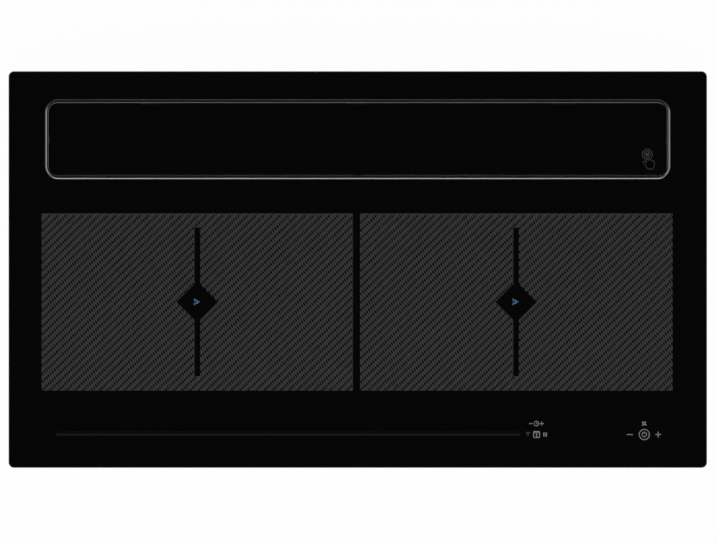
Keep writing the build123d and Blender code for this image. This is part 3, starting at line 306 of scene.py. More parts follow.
def buildMouldGrain(s):
    group, given, wanted = newGroup("mouldGrain", surfaceInputs, surfaceOutputs)
    fine = noise(group, given["Vector"], given["Scale"], s["fineDetail"])
    flow = noise(group, given["Vector"], s["flowScale"], s["flowDetail"])
    cells = cellPattern(group, given["Vector"], given["Scale"])
    height = maths(group, "MULTIPLY_ADD", cells.outputs["Distance"], s["cellShare"], fine)
    return closeSurface(group, given, wanted, flow, fine, height)


# zinc crystals on coated sheet, with a fine frost
zincSpangle = {"frostScale": 420, "frostDetail": 5, "crystalShare": 0.55, "frostShare": 0.5}


def buildSpangle(s):
    group, given, wanted = newGroup("zincSpangle", surfaceInputs, surfaceOutputs)
    cells = cellPattern(group, given["Vector"], given["Scale"])
    crystal = group.nodes.new("ShaderNodeSeparateColor")
    group.links.new(cells.outputs["Color"], crystal.inputs[0])
    frost = noise(group, given["Vector"], s["frostScale"], s["frostDetail"])
    some = maths(group, "MULTIPLY", frost, s["frostShare"])
    both = maths(group, "MULTIPLY_ADD", crystal.outputs[0], s["crystalShare"], some)
    return closeSurface(group, given, wanted, both, both, frost)


# fine drawn or rolled lines along X of the given vector
drawnLines = {"stretch": (0.012, 1, 1), "lineDetail": 4, "lineShare": 0.65,
              "cloudScale": 30, "cloudDetail": 3, "cloudShare": 0.35}


def buildDrawnLines(s):
    group, given, wanted = newGroup("drawnLines", surfaceInputs, surfaceOutputs)
    stretch = group.nodes.new("ShaderNodeMapping")
    stretch.inputs["Scale"].default_value = s["stretch"]
    group.links.new(given["Vector"], stretch.inputs["Vector"])
    lines = noise(group, stretch.outputs["Vector"], given["Scale"], s["lineDetail"])
    cloud = noise(group, given["Vector"], s["cloudScale"], s["cloudDetail"])
    some = maths(group, "MULTIPLY", lines, s["lineShare"])
    both = maths(group, "MULTIPLY_ADD", cloud, s["cloudShare"], some)
    return closeSurface(group, given, wanted, both, both, lines)


# faint wiping arcs and a thin film on the glass
wipeMarks = {"filmScale": 9, "filmDetail": 5, "arcDistortion": 6, "arcDetail": 4}


def buildWipeMarks(s):
    group, given, wanted = newGroup("wipeMarks", surfaceInputs, surfaceOutputs)
    film = noise(group, given["Vector"], s["filmScale"], s["filmDetail"])
    arcs = group.nodes.new("ShaderNodeTexWave")
    arcs.wave_type = "RINGS"
    arcs.inputs["Distortion"].default_value = s["arcDistortion"]
    arcs.inputs["Detail"].default_value = s["arcDetail"]
    group.links.new(given["Vector"], arcs.inputs["Vector"])
    group.links.new(given["Scale"], arcs.inputs["Scale"])
    both = maths(group, "MULTIPLY", film, arcs.outputs["Fac"])
    return closeSurface(group, given, wanted, film, both, film)


effects = {
    "grain": buildMouldGrain(mouldGrain),
    "spangle": buildSpangle(zincSpangle),
    "lines": buildDrawnLines(drawnLines),
    "wipe": buildWipeMarks(wipeMarks),
}
bumpDepth = 0.0002


def makeFinish(name, s):
    mat = bpy.data.materials.new(name)
    mat.use_nodes = True
    tree = mat.node_tree
    shader = tree.nodes["Principled BSDF"]
    shader.inputs["Metallic"].default_value = s.get("metal", 0)
    coord = tree.nodes.new("ShaderNodeTexCoord")
    source = coord.outputs["Object"]
    if "turn" in s:                                   # turns the drawn lines
        turn = tree.nodes.new("ShaderNodeMapping")
        turn.inputs["Rotation"].default_value = [math.radians(a) for a in s["turn"]]
        tree.links.new(source, turn.inputs["Vector"])
        source = turn.outputs["Vector"]
    effect = tree.nodes.new("ShaderNodeGroup")
    effect.node_tree = effects[s["effect"]]
    effect.inputs["Scale"].default_value = s["scale"]
    effect.inputs["Dark"].default_value = (*s["dark"], 1)
    effect.inputs["Light"].default_value = (*s["light"], 1)
    effect.inputs["Smooth"].default_value, effect.inputs["Rough"].default_value = s["rough"]
    tree.links.new(source, effect.inputs["Vector"])
    tree.links.new(effect.outputs["Color"], shader.inputs["Base Color"])
    tree.links.new(effect.outputs["Roughness"], shader.inputs["Roughness"])
    if "bump" in s:
        bump = tree.nodes.new("ShaderNodeBump")
        bump.inputs["Strength"].default_value = s["bump"]
        bump.inputs["Distance"].default_value = s.get("depth", bumpDepth)
        tree.links.new(effect.outputs["Height"], bump.inputs["Height"])
        tree.links.new(bump.outputs["Normal"], shader.inputs["Normal"])
    return mat


finishes = {
    "black_glass": {"effect": "wipe", "scale": 3.0, "rough": (0.03, 0.07),
                    "dark": (0.0011, 0.0011, 0.0011), "light": (0.0018, 0.0018, 0.0018)},
    "bezel_metal": {"effect": "lines", "scale": 900, "rough": (0.1, 0.2), "metal": 1,
                    "dark": (0.26, 0.26, 0.265), "light": (0.34, 0.34, 0.345)},
    "tray_sheet": {"effect": "spangle", "scale": 85, "rough": (0.32, 0.5), "metal": 1, "bump": 0.15,
                   "dark": (0.34, 0.36, 0.38), "light": (0.56, 0.58, 0.6)},
    "lid_sheet": {"effect": "grain", "scale": 1400, "rough": (0.4, 0.6), "bump": 0.25,
                  "dark": (0.018, 0.018, 0.019), "light": (0.028, 0.028, 0.03)},
    "basket_plastic": {"effect": "grain", "scale": 1800, "rough": (0.45, 0.65), "bump": 0.3,
                       "dark": (0.018, 0.018, 0.019), "light": (0.026, 0.026, 0.028)},
    "filter_metal": {"effect": "lines", "scale": 700, "rough": (0.42, 0.6), "metal": 0.85, "bump": 0.08,
                     "dark": (0.5, 0.51, 0.52), "light": (0.72, 0.73, 0.74)},
    "soft_rubber": {"effect": "grain", "scale": 2600, "rough": (0.7, 0.9), "bump": 0.35,
                    "dark": (0.012, 0.012, 0.012), "light": (0.022, 0.022, 0.022)},
    "bearing_plastic": {"effect": "grain", "scale": 2400, "rough": (0.3, 0.5), "bump": 0.1,
                        "dark": (0.62, 0.6, 0.52), "light": (0.72, 0.7, 0.62)},
    "gear_plastic": {"effect": "grain", "scale": 2400, "rough": (0.3, 0.5), "bump": 0.12,
                     "dark": (0.55, 0.53, 0.46), "light": (0.68, 0.66, 0.58)},
    "damper_plastic": {"effect": "grain", "scale": 2200, "rough": (0.4, 0.6), "bump": 0.25,
                       "dark": (0.03, 0.03, 0.033), "light": (0.045, 0.045, 0.05)},
    "plain_steel": {"effect": "spangle", "scale": 900, "rough": (0.26, 0.44), "metal": 1, "bump": 0.06,
                    "dark": (0.42, 0.43, 0.44), "light": (0.62, 0.63, 0.64)},
    "housing_plastic": {"effect": "grain", "scale": 1500, "rough": (0.42, 0.62), "bump": 0.35,
                        "dark": (0.016, 0.016, 0.017), "light": (0.025, 0.025, 0.027)},
    "impeller_plastic": {"effect": "grain", "scale": 2000, "rough": (0.35, 0.55), "bump": 0.2,
                         "dark": (0.1, 0.105, 0.11), "light": (0.15, 0.155, 0.16)},
    "motor_metal": {"effect": "spangle", "scale": 700, "rough": (0.38, 0.56), "metal": 1, "bump": 0.25,
                    "dark": (0.45, 0.46, 0.47), "light": (0.6, 0.61, 0.62)},
    "leaf_plastic": {"effect": "grain", "scale": 1800, "rough": (0.4, 0.6), "bump": 0.22,
                     "dark": (0.09, 0.095, 0.1), "light": (0.13, 0.135, 0.14)},
    "tray_plastic": {"effect": "grain", "scale": 1600, "rough": (0.34, 0.52), "bump": 0.2,
                     "dark": (0.2, 0.21, 0.225), "light": (0.28, 0.29, 0.31)},
    "copper": {"effect": "lines", "scale": 1600, "rough": (0.25, 0.45), "metal": 1, "bump": 0.3,
               "turn": (0, 0, 35), "dark": (0.42, 0.17, 0.08), "light": (0.72, 0.36, 0.2)},
    "mica": {"effect": "spangle", "scale": 260, "rough": (0.4, 0.7), "bump": 0.2,
             "dark": (0.5, 0.45, 0.35), "light": (0.7, 0.65, 0.55)},
    "ferrite": {"effect": "grain", "scale": 1200, "rough": (0.5, 0.75), "bump": 0.4,
                "dark": (0.03, 0.03, 0.032), "light": (0.06, 0.06, 0.063)},
    "plate_metal": {"effect": "lines", "scale": 600, "rough": (0.25, 0.42), "metal": 1, "bump": 0.08,
                    "dark": (0.55, 0.56, 0.57), "light": (0.74, 0.75, 0.76)},
    "sensor_plastic": {"effect": "grain", "scale": 2200, "rough": (0.4, 0.6), "bump": 0.15,
                       "dark": (0.66, 0.66, 0.63), "light": (0.78, 0.78, 0.75)},
    "board": {"effect": "grain", "scale": 1000, "rough": (0.25, 0.4), "bump": 0.15,
              "dark": (0.012, 0.07, 0.03), "light": (0.03, 0.12, 0.055)},
    "capacitor": {"effect": "lines", "scale": 500, "rough": (0.2, 0.35), "turn": (0, 90, 0),
                  "dark": (0.02, 0.022, 0.05), "light": (0.035, 0.04, 0.08)},
    "terminal_plastic": {"effect": "grain", "scale": 1800, "rough": (0.4, 0.6), "bump": 0.2,
                         "dark": (0.2, 0.2, 0.2), "light": (0.28, 0.28, 0.28)},
}
materials = {name: makeFinish(name, s) for name, s in finishes.items()}


def paint(piece, material):
    piece.data.materials.clear()
    piece.data.materials.append(material)


def dressNodes():
    for entry in frame["record"]["subparts"]:
        paint(nodes[entry["node"]], materials[entry["material_slot"]])


dressNodes()
print("finishes on the nodes:", len(materials))


# flat marks are drawn as thin plates in mm, joined, and given the thickness of enamel
plate = {"cornerSteps": 4, "ringSteps": 36, "dotSteps": 16,
         "bladeSteps": 14, "bladeLean": 14, "bladeOut": 0.55}


def applyPlace():
    bpy.ops.object.transform_apply(location=True, rotation=True, scale=True)
    return bpy.context.object


def flatBar(x, y, z, length, width, angle=0, corner=0):
    deselectAll()
    place = (x * mm, y * mm, z)
    bpy.ops.mesh.primitive_plane_add(size=1, location=place, rotation=(0, 0, math.radians(angle)))
    bpy.context.object.scale = (length * mm, width * mm, 1)
    bar = applyPlace()
    if corner:
        bpy.ops.object.mode_set(mode="EDIT")
        bpy.ops.mesh.select_all(action="SELECT")
        bpy.ops.mesh.bevel(offset=corner * mm, segments=plate["cornerSteps"], affect="VERTICES")
        bpy.ops.object.mode_set(mode="OBJECT")
    return bar


def flatStroke(start, end, z, width, at=(0, 0), longer=0):
    (ax, ay), (bx, by) = start, end
    length = math.hypot(bx - ax, by - ay) + longer
    angle = math.degrees(math.atan2(by - ay, bx - ax))
    return flatBar(at[0] + (ax + bx) / 2, at[1] + (ay + by) / 2, z, length, width, angle)


def openMiddle(band):
    # leaves a band round the active plate
    bpy.ops.object.mode_set(mode="EDIT")
    bpy.ops.mesh.select_all(action="SELECT")
    bpy.ops.mesh.inset(thickness=band * mm)
    bpy.ops.mesh.delete(type="FACE")
    bpy.ops.object.mode_set(mode="OBJECT")


def flatDisc(x, y, z, radius, steps=plate["dotSteps"]):
    deselectAll()
    place = (x * mm, y * mm, z)
    bpy.ops.mesh.primitive_circle_add(vertices=steps, radius=radius * mm, fill_type="NGON", location=place)
    return applyPlace()


def flatRing(x, y, z, outer, band, steps=plate["ringSteps"]):
    ring = flatDisc(x, y, z, outer, steps)
    openMiddle(band)
    return ring


def flatBlade(x, y, z, reach, width, angle):
    deselectAll()
    a = math.radians(angle)
    out = reach * plate["bladeOut"]
    place = ((x + math.cos(a) * out) * mm, (y + math.sin(a) * out) * mm, z)
    steps = plate["bladeSteps"]
    bpy.ops.mesh.primitive_circle_add(vertices=steps, radius=0.5, fill_type="NGON", location=place)
    blade = bpy.context.object
    blade.scale = (reach * mm, width * mm, 1)
    blade.rotation_euler = (0, 0, a + math.radians(plate["bladeLean"]))
    return applyPlace()


def pickFaces(piece, test):
    # goes into edit mode with the faces that pass the test
    takeUp(piece)
    bpy.ops.object.mode_set(mode="EDIT")
    bpy.ops.mesh.select_all(action="DESELECT")
    bpy.ops.object.mode_set(mode="OBJECT")
    for face in piece.data.polygons:
        face.select = test(face)
    bpy.ops.object.mode_set(mode="EDIT")


def keepPart(piece, keepFace):
    # drops the faces whose middle fails the test
    pickFaces(piece, lambda face: not keepFace(face.center))
    bpy.ops.mesh.delete(type="FACE")
    bpy.ops.object.mode_set(mode="OBJECT")


def cutAlong(piece, point, normal, clearOuter=False):
    # a straight cut through the whole plate
    takeUp(piece)
    bpy.ops.object.mode_set(mode="EDIT")
    bpy.ops.mesh.select_mode(type="FACE")
    bpy.ops.mesh.select_all(action="SELECT")
    bpy.ops.mesh.bisect(plane_co=point, plane_no=normal, clear_outer=clearOuter)
    bpy.ops.object.mode_set(mode="OBJECT")


def joinAs(name, parts):
    deselectAll()
    for p in parts:
        p.select_set(True)
    bpy.context.view_layer.objects.active = parts[0]
    if len(parts) > 1:
        bpy.ops.object.join()
    piece = bpy.context.object
    piece.name = name
    piece.data.name = name
    return piece


def thicken(piece, thick):
    # every plate faces up before it gets its thickness
    pickFaces(piece, lambda face: face.normal.z < 0)
    bpy.ops.mesh.flip_normals()
    bpy.ops.object.mode_set(mode="OBJECT")
    solid = piece.modifiers.new("enamel", "SOLIDIFY")
    solid.thickness = thick
    solid.offset = -1
    bpy.ops.object.modifier_apply(modifier=solid.name)


enamel = {"effect": "grain", "scale": 1500, "rough": (0.4, 0.55), "bump": 0.1, "depth": 0.00005}
inkTones = {
    "signInk": {"dark": (0.14, 0.14, 0.142), "light": (0.185, 0.185, 0.187)},
    "lidInk": {"dark": (0.05, 0.05, 0.051), "light": (0.068, 0.068, 0.069)},
    "sliderInk": {"dark": (0.0017, 0.0017, 0.0018), "light": (0.003, 0.003, 0.0031)},
    "blueInk": {"dark": (0.035, 0.14, 0.3), "light": (0.05, 0.185, 0.37)},
    "tealInk": {"dark": (0.016, 0.034, 0.042), "light": (0.024, 0.046, 0.056)},
}
inks = {name: makeFinish(name, {**enamel, **tones}) for name, tones in inkTones.items()}
printTop = 0.00806
printThick = 0.0001


def finishPrint(piece, ink, body, thick=printThick):
    thicken(piece, thick)
    paint(piece, ink)
    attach(piece, body)


# tone of the threads: each floats over three rows and dips under one,
# lightest in the middle and darker towards the dips and its sides
threadTone = {"dipMiddle": 0.5, "sideShade": -0.95, "floatPower": 0.5,
              "floatShare": 0.9, "chanceShare": 0.1, "chancePower": 2.0, "dipPower": 4.0}
rowsPerDip = 4


def buildWeaveTone(s):
    inputs = [("Vector", "NodeSocketVector", None)]
    inputs += [(label, "NodeSocketFloat", 0.0) for label in ("Left", "Rear", "Across", "Along")]
    inputs += [(label, "NodeSocketColor", None) for label in ("Dark", "Light")]
    outputs = [("Color", "NodeSocketColor"), ("Dip", "NodeSocketColor")]
    group, given, wanted = newGroup("weaveTone", inputs, outputs)
    split = group.nodes.new("ShaderNodeSeparateXYZ")
    group.links.new(given["Vector"], split.inputs[0])
    fromLeft = maths(group, "SUBTRACT", split.outputs["X"], given["Left"])
    fromRear = maths(group, "SUBTRACT", given["Rear"], split.outputs["Y"])
    across = maths(group, "DIVIDE", fromLeft, given["Across"])
    along = maths(group, "DIVIDE", fromRear, given["Along"])
    column = maths(group, "FLOOR", across)
    fromDip = maths(group, "SUBTRACT", maths(group, "ADD", along, column), s["dipMiddle"])
    turnOver = maths(group, "DIVIDE", fromDip, rowsPerDip)

    floatTone = maths(group, "SINE", maths(group, "MULTIPLY", maths(group, "FRACT", turnOver), math.pi))
    side = maths(group, "MULTIPLY_ADD", maths(group, "FRACT", across), 2.0, -1.0)
    roundTone = maths(group, "MULTIPLY_ADD", maths(group, "MULTIPLY", side, side), s["sideShade"], 1.0)
    height = maths(group, "MULTIPLY", maths(group, "POWER", floatTone, s["floatPower"]), roundTone)

    def chance(row, power):
        # one level for each thread end, mostly low
        place = group.nodes.new("ShaderNodeCombineXYZ")
        group.links.new(column, place.inputs[0])
        group.links.new(row, place.inputs[1])
        value = group.nodes.new("ShaderNodeTexWhiteNoise")
        value.noise_dimensions = "2D"
        group.links.new(place.outputs[0], value.inputs["Vector"])
        return maths(group, "POWER", value.outputs["Value"], power)

    bright = chance(maths(group, "FLOOR", turnOver), s["chancePower"])
    faint = chance(maths(group, "ROUND", turnOver), s["dipPower"])
    shaped = maths(group, "MULTIPLY", height, s["floatShare"])
    tone = maths(group, "MULTIPLY_ADD", bright, s["chanceShare"], shaped)
    group.links.new(mixColour(group, tone, given["Dark"], given["Light"]), wanted["Color"])
    group.links.new(mixColour(group, faint, given["Dark"], given["Light"]), wanted["Dip"])
    return group


weaveTone = buildWeaveTone(threadTone)

# woven zone print: a grey sheet of threads, and the dark leaning dips over it,
# one row further up in each column
weave = {"cellX": 2.654, "cellY": 2.567, "front": -156.1, "rear": 72.3,
         "dark": (0.003, 0.003, 0.0031), "light": (0.0305, 0.0305, 0.0308), "rough": 0.5,
         "dipWide": 1.4, "dipLong": 4.8, "dipLean": 20, "dipSides": 6,
         "dipRise": 0.00002, "dipThick": 0.00005,
         "dipDark": (0.0008, 0.0008, 0.0008), "dipLight": (0.004, 0.004, 0.004), "dipRough": 0.08,
         "slitHalf": 3.65, "slitFront": -137.4, "slitRear": 54.1, "diamondY": -41.9, "diamondHalf": 26.7}
zoneSpans = {"Left": {"left": -407.5, "right": -6.2, "middle": -206.7},
             "Right": {"left": 2.9, "right": 405.6, "middle": 204.0}}


def threadInk(name, left, s, output, dark, light, rough):
    mat = bpy.data.materials.new(name)
    mat.use_nodes = True
    tree = mat.node_tree
    shader = tree.nodes["Principled BSDF"]
    shader.inputs["Roughness"].default_value = rough
    coord = tree.nodes.new("ShaderNodeTexCoord")
    threads = tree.nodes.new("ShaderNodeGroup")
    threads.node_tree = weaveTone
    threads.inputs["Left"].default_value = left * mm
    threads.inputs["Rear"].default_value = s["rear"] * mm
    threads.inputs["Across"].default_value = s["cellX"] * mm
    threads.inputs["Along"].default_value = s["cellY"] * mm
    threads.inputs["Dark"].default_value = (*dark, 1)
    threads.inputs["Light"].default_value = (*light, 1)
    tree.links.new(coord.outputs["Object"], threads.inputs["Vector"])
    tree.links.new(threads.outputs[output], shader.inputs["Base Color"])
    return mat


def repeatDips(dip, left, right, s):
    # four to a diagonal, then across and down, past the edges of the zone
    cx, cy = s["cellX"], s["cellY"]
    columns = math.ceil((right - left) / cx / rowsPerDip) + 1
    rows = math.ceil((s["rear"] - s["front"]) / cy / rowsPerDip) + 2
    runs = (("diagonal", (cx, cy), rowsPerDip),
            ("across", (rowsPerDip * cx, 0), columns),
            ("down", (0, -rowsPerDip * cy), rows))
    for label, (stepX, stepY), count in runs:
        array = dip.modifiers.new(label, "ARRAY")
        array.use_relative_offset = False
        array.use_constant_offset = True
        array.constant_offset_displace = (stepX * mm, stepY * mm, 0)
        array.count = count
        bpy.ops.object.modifier_apply(modifier=label)


def weaveZone(side, left, right, middle, s):
    reach = s["diamondHalf"]
    front, rear = s["front"], s["rear"]

    def inked(c):
        x, y = c.x / mm - middle, c.y / mm
        inSlit = abs(x) < s["slitHalf"] and s["slitFront"] < y < s["slitRear"]
        return not inSlit and abs(x) + abs(y - s["diamondY"]) > reach

    # the sheet, with the bare centre line and diamond cut out
    sheet = flatBar((left + right) / 2, (front + rear) / 2, printTop, right - left, rear - front)
    for edge in (-1, 1):
        cutAlong(sheet, ((middle + edge * s["slitHalf"]) * mm, 0, 0), (1, 0, 0))
    for level in (s["slitFront"], s["slitRear"]):
        cutAlong(sheet, (0, level * mm, 0), (0, 1, 0))
    for sx in (-1, 1):
        for sy in (-1, 1):
            cutAlong(sheet, ((middle + sx * reach) * mm, s["diamondY"] * mm, 0), (sx, sy, 0))
    keepPart(sheet, inked)
    ink = threadInk("thread" + side, left, s, "Color", s["dark"], s["light"], s["rough"])
    finishPrint(joinAs("zoneWeave" + side, [sheet]), ink, "housing")

    # the dips, from one small leaning plate, cut off at the edges of the sheet
    dipX = left + s["cellX"] / 2
    dipY = rear - s["cellY"] / 2 - rowsPerDip * s["cellY"]
    here = (dipX * mm, dipY * mm, 0)
    narrow = s["dipWide"] / (s["dipLong"] * math.cos(math.pi / s["dipSides"]))
    dip = flatDisc(dipX, dipY, printTop + s["dipRise"], s["dipLong"] / 2, s["dipSides"])
    bpy.ops.transform.resize(value=(narrow, 1, 1), center_override=here)
    bpy.ops.transform.rotate(value=-math.radians(s["dipLean"]), orient_axis="Z", center_override=here)
    applyPlace()
    repeatDips(dip, left, right, s)
    cutAlong(dip, (right * mm, 0, 0), (1, 0, 0), True)
    cutAlong(dip, (0, front * mm, 0), (0, -1, 0), True)
    cutAlong(dip, (0, rear * mm, 0), (0, 1, 0), True)
    keepPart(dip, inked)
    ink = threadInk("dip" + side, left, s, "Dip", s["dipDark"], s["dipLight"], s["dipRough"])
    finishPrint(joinAs("zoneDips" + side, [dip]), ink, "housing", s["dipThick"])


for zoneSide, span in zoneSpans.items():
    weaveZone(zoneSide, span["left"], span["right"], span["middle"], weave)
print("zone prints woven")


# small blue pointers in the diamonds: three round corners, two strokes and a thin back
pointer = {"corners": [(-3.7, 3.3), (-3.7, -2.7), (2.0, 0.3)], "dot": 1.05, "stroke": 1.35, "back": 0.5}


def drawPointer(side, middle, s):
    top, bottom, tip = [(middle + x, weave["diamondY"] + y) for x, y in s["corners"]]
    mark = [flatDisc(x, y, printTop, s["dot"]) for x, y in (top, bottom, tip)]
    mark += [flatStroke(corner, tip, printTop, s["stroke"]) for corner in (top, bottom)]
    mark.append(flatStroke(top, bottom, printTop, s["back"]))
    finishPrint(joinAs("zonePointer" + side, mark), inks["blueInk"], "housing")


for zoneSide, span in zoneSpans.items():
    drawPointer(zoneSide, span["middle"], pointer)

# long slider line with a hairline behind it
sliderLine = {"x": -90, "y": -212.7, "length": 598, "width": 2.6, "corner": 1.2,
              "hairRear": 3.4, "hairLength": 592, "hairWidth": 0.5, "hairCorner": 0.2}


def drawSlider(s):
    line = flatBar(s["x"], s["y"], printTop, s["length"], s["width"], 0, s["corner"])
    hairY = s["y"] + s["hairRear"]
    hair = flatBar(s["x"], hairY, printTop, s["hairLength"], s["hairWidth"], 0, s["hairCorner"])
    finishPrint(joinAs("sliderLine", [line, hair]), inks["sliderInk"], "housing")


drawSlider(sliderLine)

# touch signs stand in two rows; a bar is given by x, its way up from the row, length and width
touchRows = {"rear": -198.5, "front": -212.6}
timerSigns = {"stroke": 0.95, "minus": (223.2, 0, 4.4, 0.95), "plusX": 237.2, "plusReach": 2.6,
              "clockX": 230.3, "clock": 3.5, "clockBand": 0.9,
              "hands": [(230.3, 0.9, 0.7, 1.9), (231.1, -0.3, 1.7, 0.7)],
              "windowX": 230.4, "window": 8.8, "windowCorner": 1.5, "windowBand": 1.1,
              "panes": [(230.4, 0, 1.3, 6.6), (230.4, 2.7, 6.6, 1.4)],
              "pause": [(239.9, 0, 1.6, 5.4), (242.8, 0, 1.6, 5.4)], "pauseCorner": 0.3}
fanSigns = {"stroke": 1.15, "minus": (350.6, 0, 7.6, 1.15), "plusX": 387.1, "plusReach": 3.6,
            "fanX": 369.0, "bladeReach": 3.4, "bladeWidth": 2.0,
            "keyX": 369.2, "key": 7.1, "keyBand": 1.1, "keySteps": 48,
            "power": 3.4, "powerBand": 1.0, "powerSteps": 40, "gapHalf": 1.1, "stem": (369.2, 2.2, 0.9, 3.0)}
radioSign = {"x": 219.4, "down": 1.2, "arcs": (2.4, 4.4), "band": 0.9, "steps": 48,
             "dot": 0.8, "dotDown": 1.0}
bladeAngles = (45, 135, 225, 315)
hubShare = 0.22


def rowBar(row, bar, corner=0):
    x, up, length, width = bar
    return flatBar(x, row + up, printTop, length, width, 0, corner)


def plusSign(x, y, reach, stroke):
    # the upright is in two halves, so that no plates overlap
    half = reach - stroke / 2
    offset = reach / 2 + stroke / 4
    return [flatBar(x, y, printTop, 2 * reach, stroke),
            flatBar(x, y + offset, printTop, stroke, half),
            flatBar(x, y - offset, printTop, stroke, half)]


def fanSign(x, y, reach, width):
    blades = [flatBlade(x, y, printTop, reach, width, angle) for angle in bladeAngles]
    return blades + [flatDisc(x, y, printTop, reach * hubShare)]


def drawTimerSigns(s, rear, front):
    timer = [rowBar(rear, s["minus"]), flatRing(s["clockX"], rear, printTop, s["clock"], s["clockBand"])]
    timer += [rowBar(rear, hand) for hand in s["hands"]]
    timer += plusSign(s["plusX"], rear, s["plusReach"], s["stroke"])
    timer.append(rowBar(front, (s["windowX"], 0, s["window"], s["window"]), s["windowCorner"]))
    openMiddle(s["windowBand"])
    timer += [rowBar(front, pane) for pane in s["panes"]]
    timer += [rowBar(front, bar, s["pauseCorner"]) for bar in s["pause"]]
    finishPrint(joinAs("timerSigns", timer), inks["signInk"], "housing")


def drawFanSigns(s, rear, front):
    fan = fanSign(s["fanX"], rear, s["bladeReach"], s["bladeWidth"])
    fan.append(flatRing(s["keyX"], front, printTop, s["key"], s["keyBand"], s["keySteps"]))
    power = flatRing(s["keyX"], front, printTop, s["power"], s["powerBand"], s["powerSteps"])
    keepPart(power, lambda c: not (abs(c.x / mm - s["keyX"]) < s["gapHalf"] and c.y / mm > front))
    fan += [power, rowBar(front, s["stem"]), rowBar(front, s["minus"])]
    fan += plusSign(s["plusX"], front, s["plusReach"], s["stroke"])
    finishPrint(joinAs("fanSigns", fan), inks["signInk"], "housing")


def drawRadioSign(s, row):
    # a dot and two arcs
    y = row - s["down"]
    arcs = [flatRing(s["x"], y, printTop, r, s["band"], s["steps"]) for r in s["arcs"]]
    for arc in arcs:
        keepPart(arc, lambda c: c.y / mm - y > abs(c.x / mm - s["x"]))
    dot = flatDisc(s["x"], row - s["dotDown"], printTop, s["dot"])
    finishPrint(joinAs("radioSign", arcs + [dot]), inks["tealInk"], "housing")


drawTimerSigns(timerSigns, touchRows["rear"], touchRows["front"])
drawFanSigns(fanSigns, touchRows["rear"], touchRows["front"])
drawRadioSign(radioSign, touchRows["front"])

# press sign on the lid: ringed fan and a pointing hand
lidSign = {"x": 373.0, "y": 148.4, "rings": [(6.9, 0.55), (4.3, 0.5)], "ringSteps": 48,
           "bladeReach": 2.6, "bladeWidth": 1.5, "handX": 376.6, "handY": 135.8, "stroke": 0.45,
           "hand": [(-3.4, 7.5), (-4.7, 6.5), (-4.9, 1.9), (-6.2, 3.7), (-7.8, 4.5), (-8.8, 3.4), (-8.5, 2.0),
                    (-5.6, -2.2), (-2.8, -6.3), (3.9, -6.3), (5.1, -3.2), (5.7, 1.6), (5.1, 4.0), (3.9, 4.9),
                    (2.7, 4.4), (1.7, 5.6), (0.4, 5.9), (-0.7, 5.1), (-2.0, 4.6), (-2.1, 6.6)]}


def drawLidSign(s):
    parts = [flatRing(s["x"], s["y"], printTop, r, band, s["ringSteps"]) for r, band in s["rings"]]
    parts += fanSign(s["x"], s["y"], s["bladeReach"], s["bladeWidth"])
    hand, wrist = s["hand"], (s["handX"], s["handY"])
    for start, end in zip(hand, hand[1:] + hand[:1]):
        parts.append(flatStroke(start, end, printTop, s["stroke"], wrist, s["stroke"]))
    finishPrint(joinAs("lidSign", parts), inks["lidInk"], "lid")


drawLidSign(lidSign)
print("signs drawn")


# stiffening ribs on the underside of the fan housing; a wing is x, front and rear end
ribs = {"fanX": -60, "fanY": -50, "rings": (63, 88, 106), "ringSteps": 72, "spokes": 16,
        "thick": 1.8, "drop": 2.0, "sunk": 0.4, "soften": 0.35, "softSteps": 2,
        "wings": [(205, -2, 104), (230, 24, 104), (255, 50, 104), (280, 76, 104),
                  (-215, -92, 104), (-240, -36, 104), (-265, 18, 104)]}


def finishRibs(name, parts, s):
    piece = joinAs(name, parts)
    thicken(piece, s["drop"] * mm)
    soft = piece.modifiers.new("soften", "BEVEL")
    soft.width = s["soften"] * mm
    soft.segments = s["softSteps"]
    soft.limit_method = "ANGLE"
    bpy.ops.object.modifier_apply(modifier=soft.name)
    paint(piece, materials["housing_plastic"])
    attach(piece, "housing")


def mouldScrollRibs(s):
    x, y, thick = s["fanX"], s["fanY"], s["thick"]
    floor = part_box("scroll_lower")[0][2] + s["sunk"] * mm
    parts = [flatRing(x, y, floor, r + thick / 2, thick, s["ringSteps"]) for r in s["rings"]]
    first, last = s["rings"][0], s["rings"][-1]
    middle = (first + last) / 2
    for k in range(s["spokes"]):
        a = 2 * math.pi * (k + 0.5) / s["spokes"]
        spokeX, spokeY = x + middle * math.cos(a), y + middle * math.sin(a)
        parts.append(flatBar(spokeX, spokeY, floor, last - first, thick, math.degrees(a)))
    finishRibs("scrollRibs", parts, s)


def mouldSuctionRibs(s):
    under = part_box("suction_box")[0][2] + s["sunk"] * mm
    parts = [flatBar(x, (low + high) / 2, under, s["thick"], high - low) for x, low, high in s["wings"]]
    finishRibs("suctionRibs", parts, s)


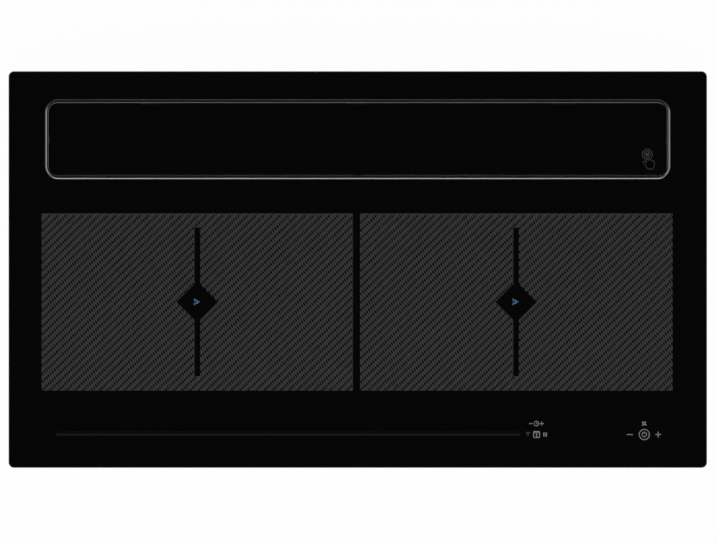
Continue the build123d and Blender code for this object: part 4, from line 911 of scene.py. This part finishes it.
mouldScrollRibs(ribs)
mouldSuctionRibs(ribs)
print("ribs moulded")


# windings under the zones: one unbroken stranded wire each
winding = {"zoneX": 205.5, "zoneY": -42, "level": -1.2, "spacing": 200, "straight": 40,
           "start": 26, "pitch": 5.5, "turns": 10, "arcSteps": 12,
           "wire": 2.1, "curveOrder": 3, "curveSteps": 3, "wireSteps": 2}


def windingPoints(s, x, y):
    # half circles joined by straights, each half a pitch wider than the one before
    half, widen = s["straight"] / 2, s["pitch"] / 2
    arc = [math.pi * k / s["arcSteps"] for k in range(s["arcSteps"] + 1)]
    points = []
    for turn in range(s["turns"]):
        r = s["start"] + turn * s["pitch"]
        points += [(r * math.cos(a), half + r * math.sin(a)) for a in arc]
        r += widen
        points += [(widen + r * math.cos(math.pi + a), -half + r * math.sin(math.pi + a)) for a in arc]
    points.append((s["start"] + s["turns"] * s["pitch"], half))
    return [((x + px) * mm, (y + py) * mm, s["level"] * mm, 1) for px, py in points]


def windCoil(s, x, y):
    line = bpy.data.curves.new("windingLine", "CURVE")
    line.dimensions = "3D"
    line.resolution_u = s["curveSteps"]
    line.bevel_depth = s["wire"] * mm
    line.bevel_resolution = s["wireSteps"]
    line.use_fill_caps = True
    points = windingPoints(s, x, y)
    spline = line.splines.new("NURBS")
    spline.points.add(len(points) - 1)
    for point, place in zip(spline.points, points):
        point.co = place
    spline.order_u = s["curveOrder"]
    spline.use_endpoint_u = True
    coil = bpy.data.objects.new("winding", line)
    bpy.context.scene.collection.objects.link(coil)
    takeUp(coil)
    bpy.ops.object.convert(target="MESH")
    bpy.ops.object.shade_smooth()
    return bpy.context.object


def windZone(side, middle, s):
    coils = [windCoil(s, middle + shift * s["spacing"], s["zoneY"]) for shift in (-0.5, 0.5)]
    piece = joinAs("strandedCoils" + side, coils)
    paint(piece, materials["copper"])
    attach(piece, "housing")
    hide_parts("coil_windings_" + side.lower())


windZone("Left", -winding["zoneX"], winding)
windZone("Right", winding["zoneX"], winding)
print("windings wound")


print("pieces done")
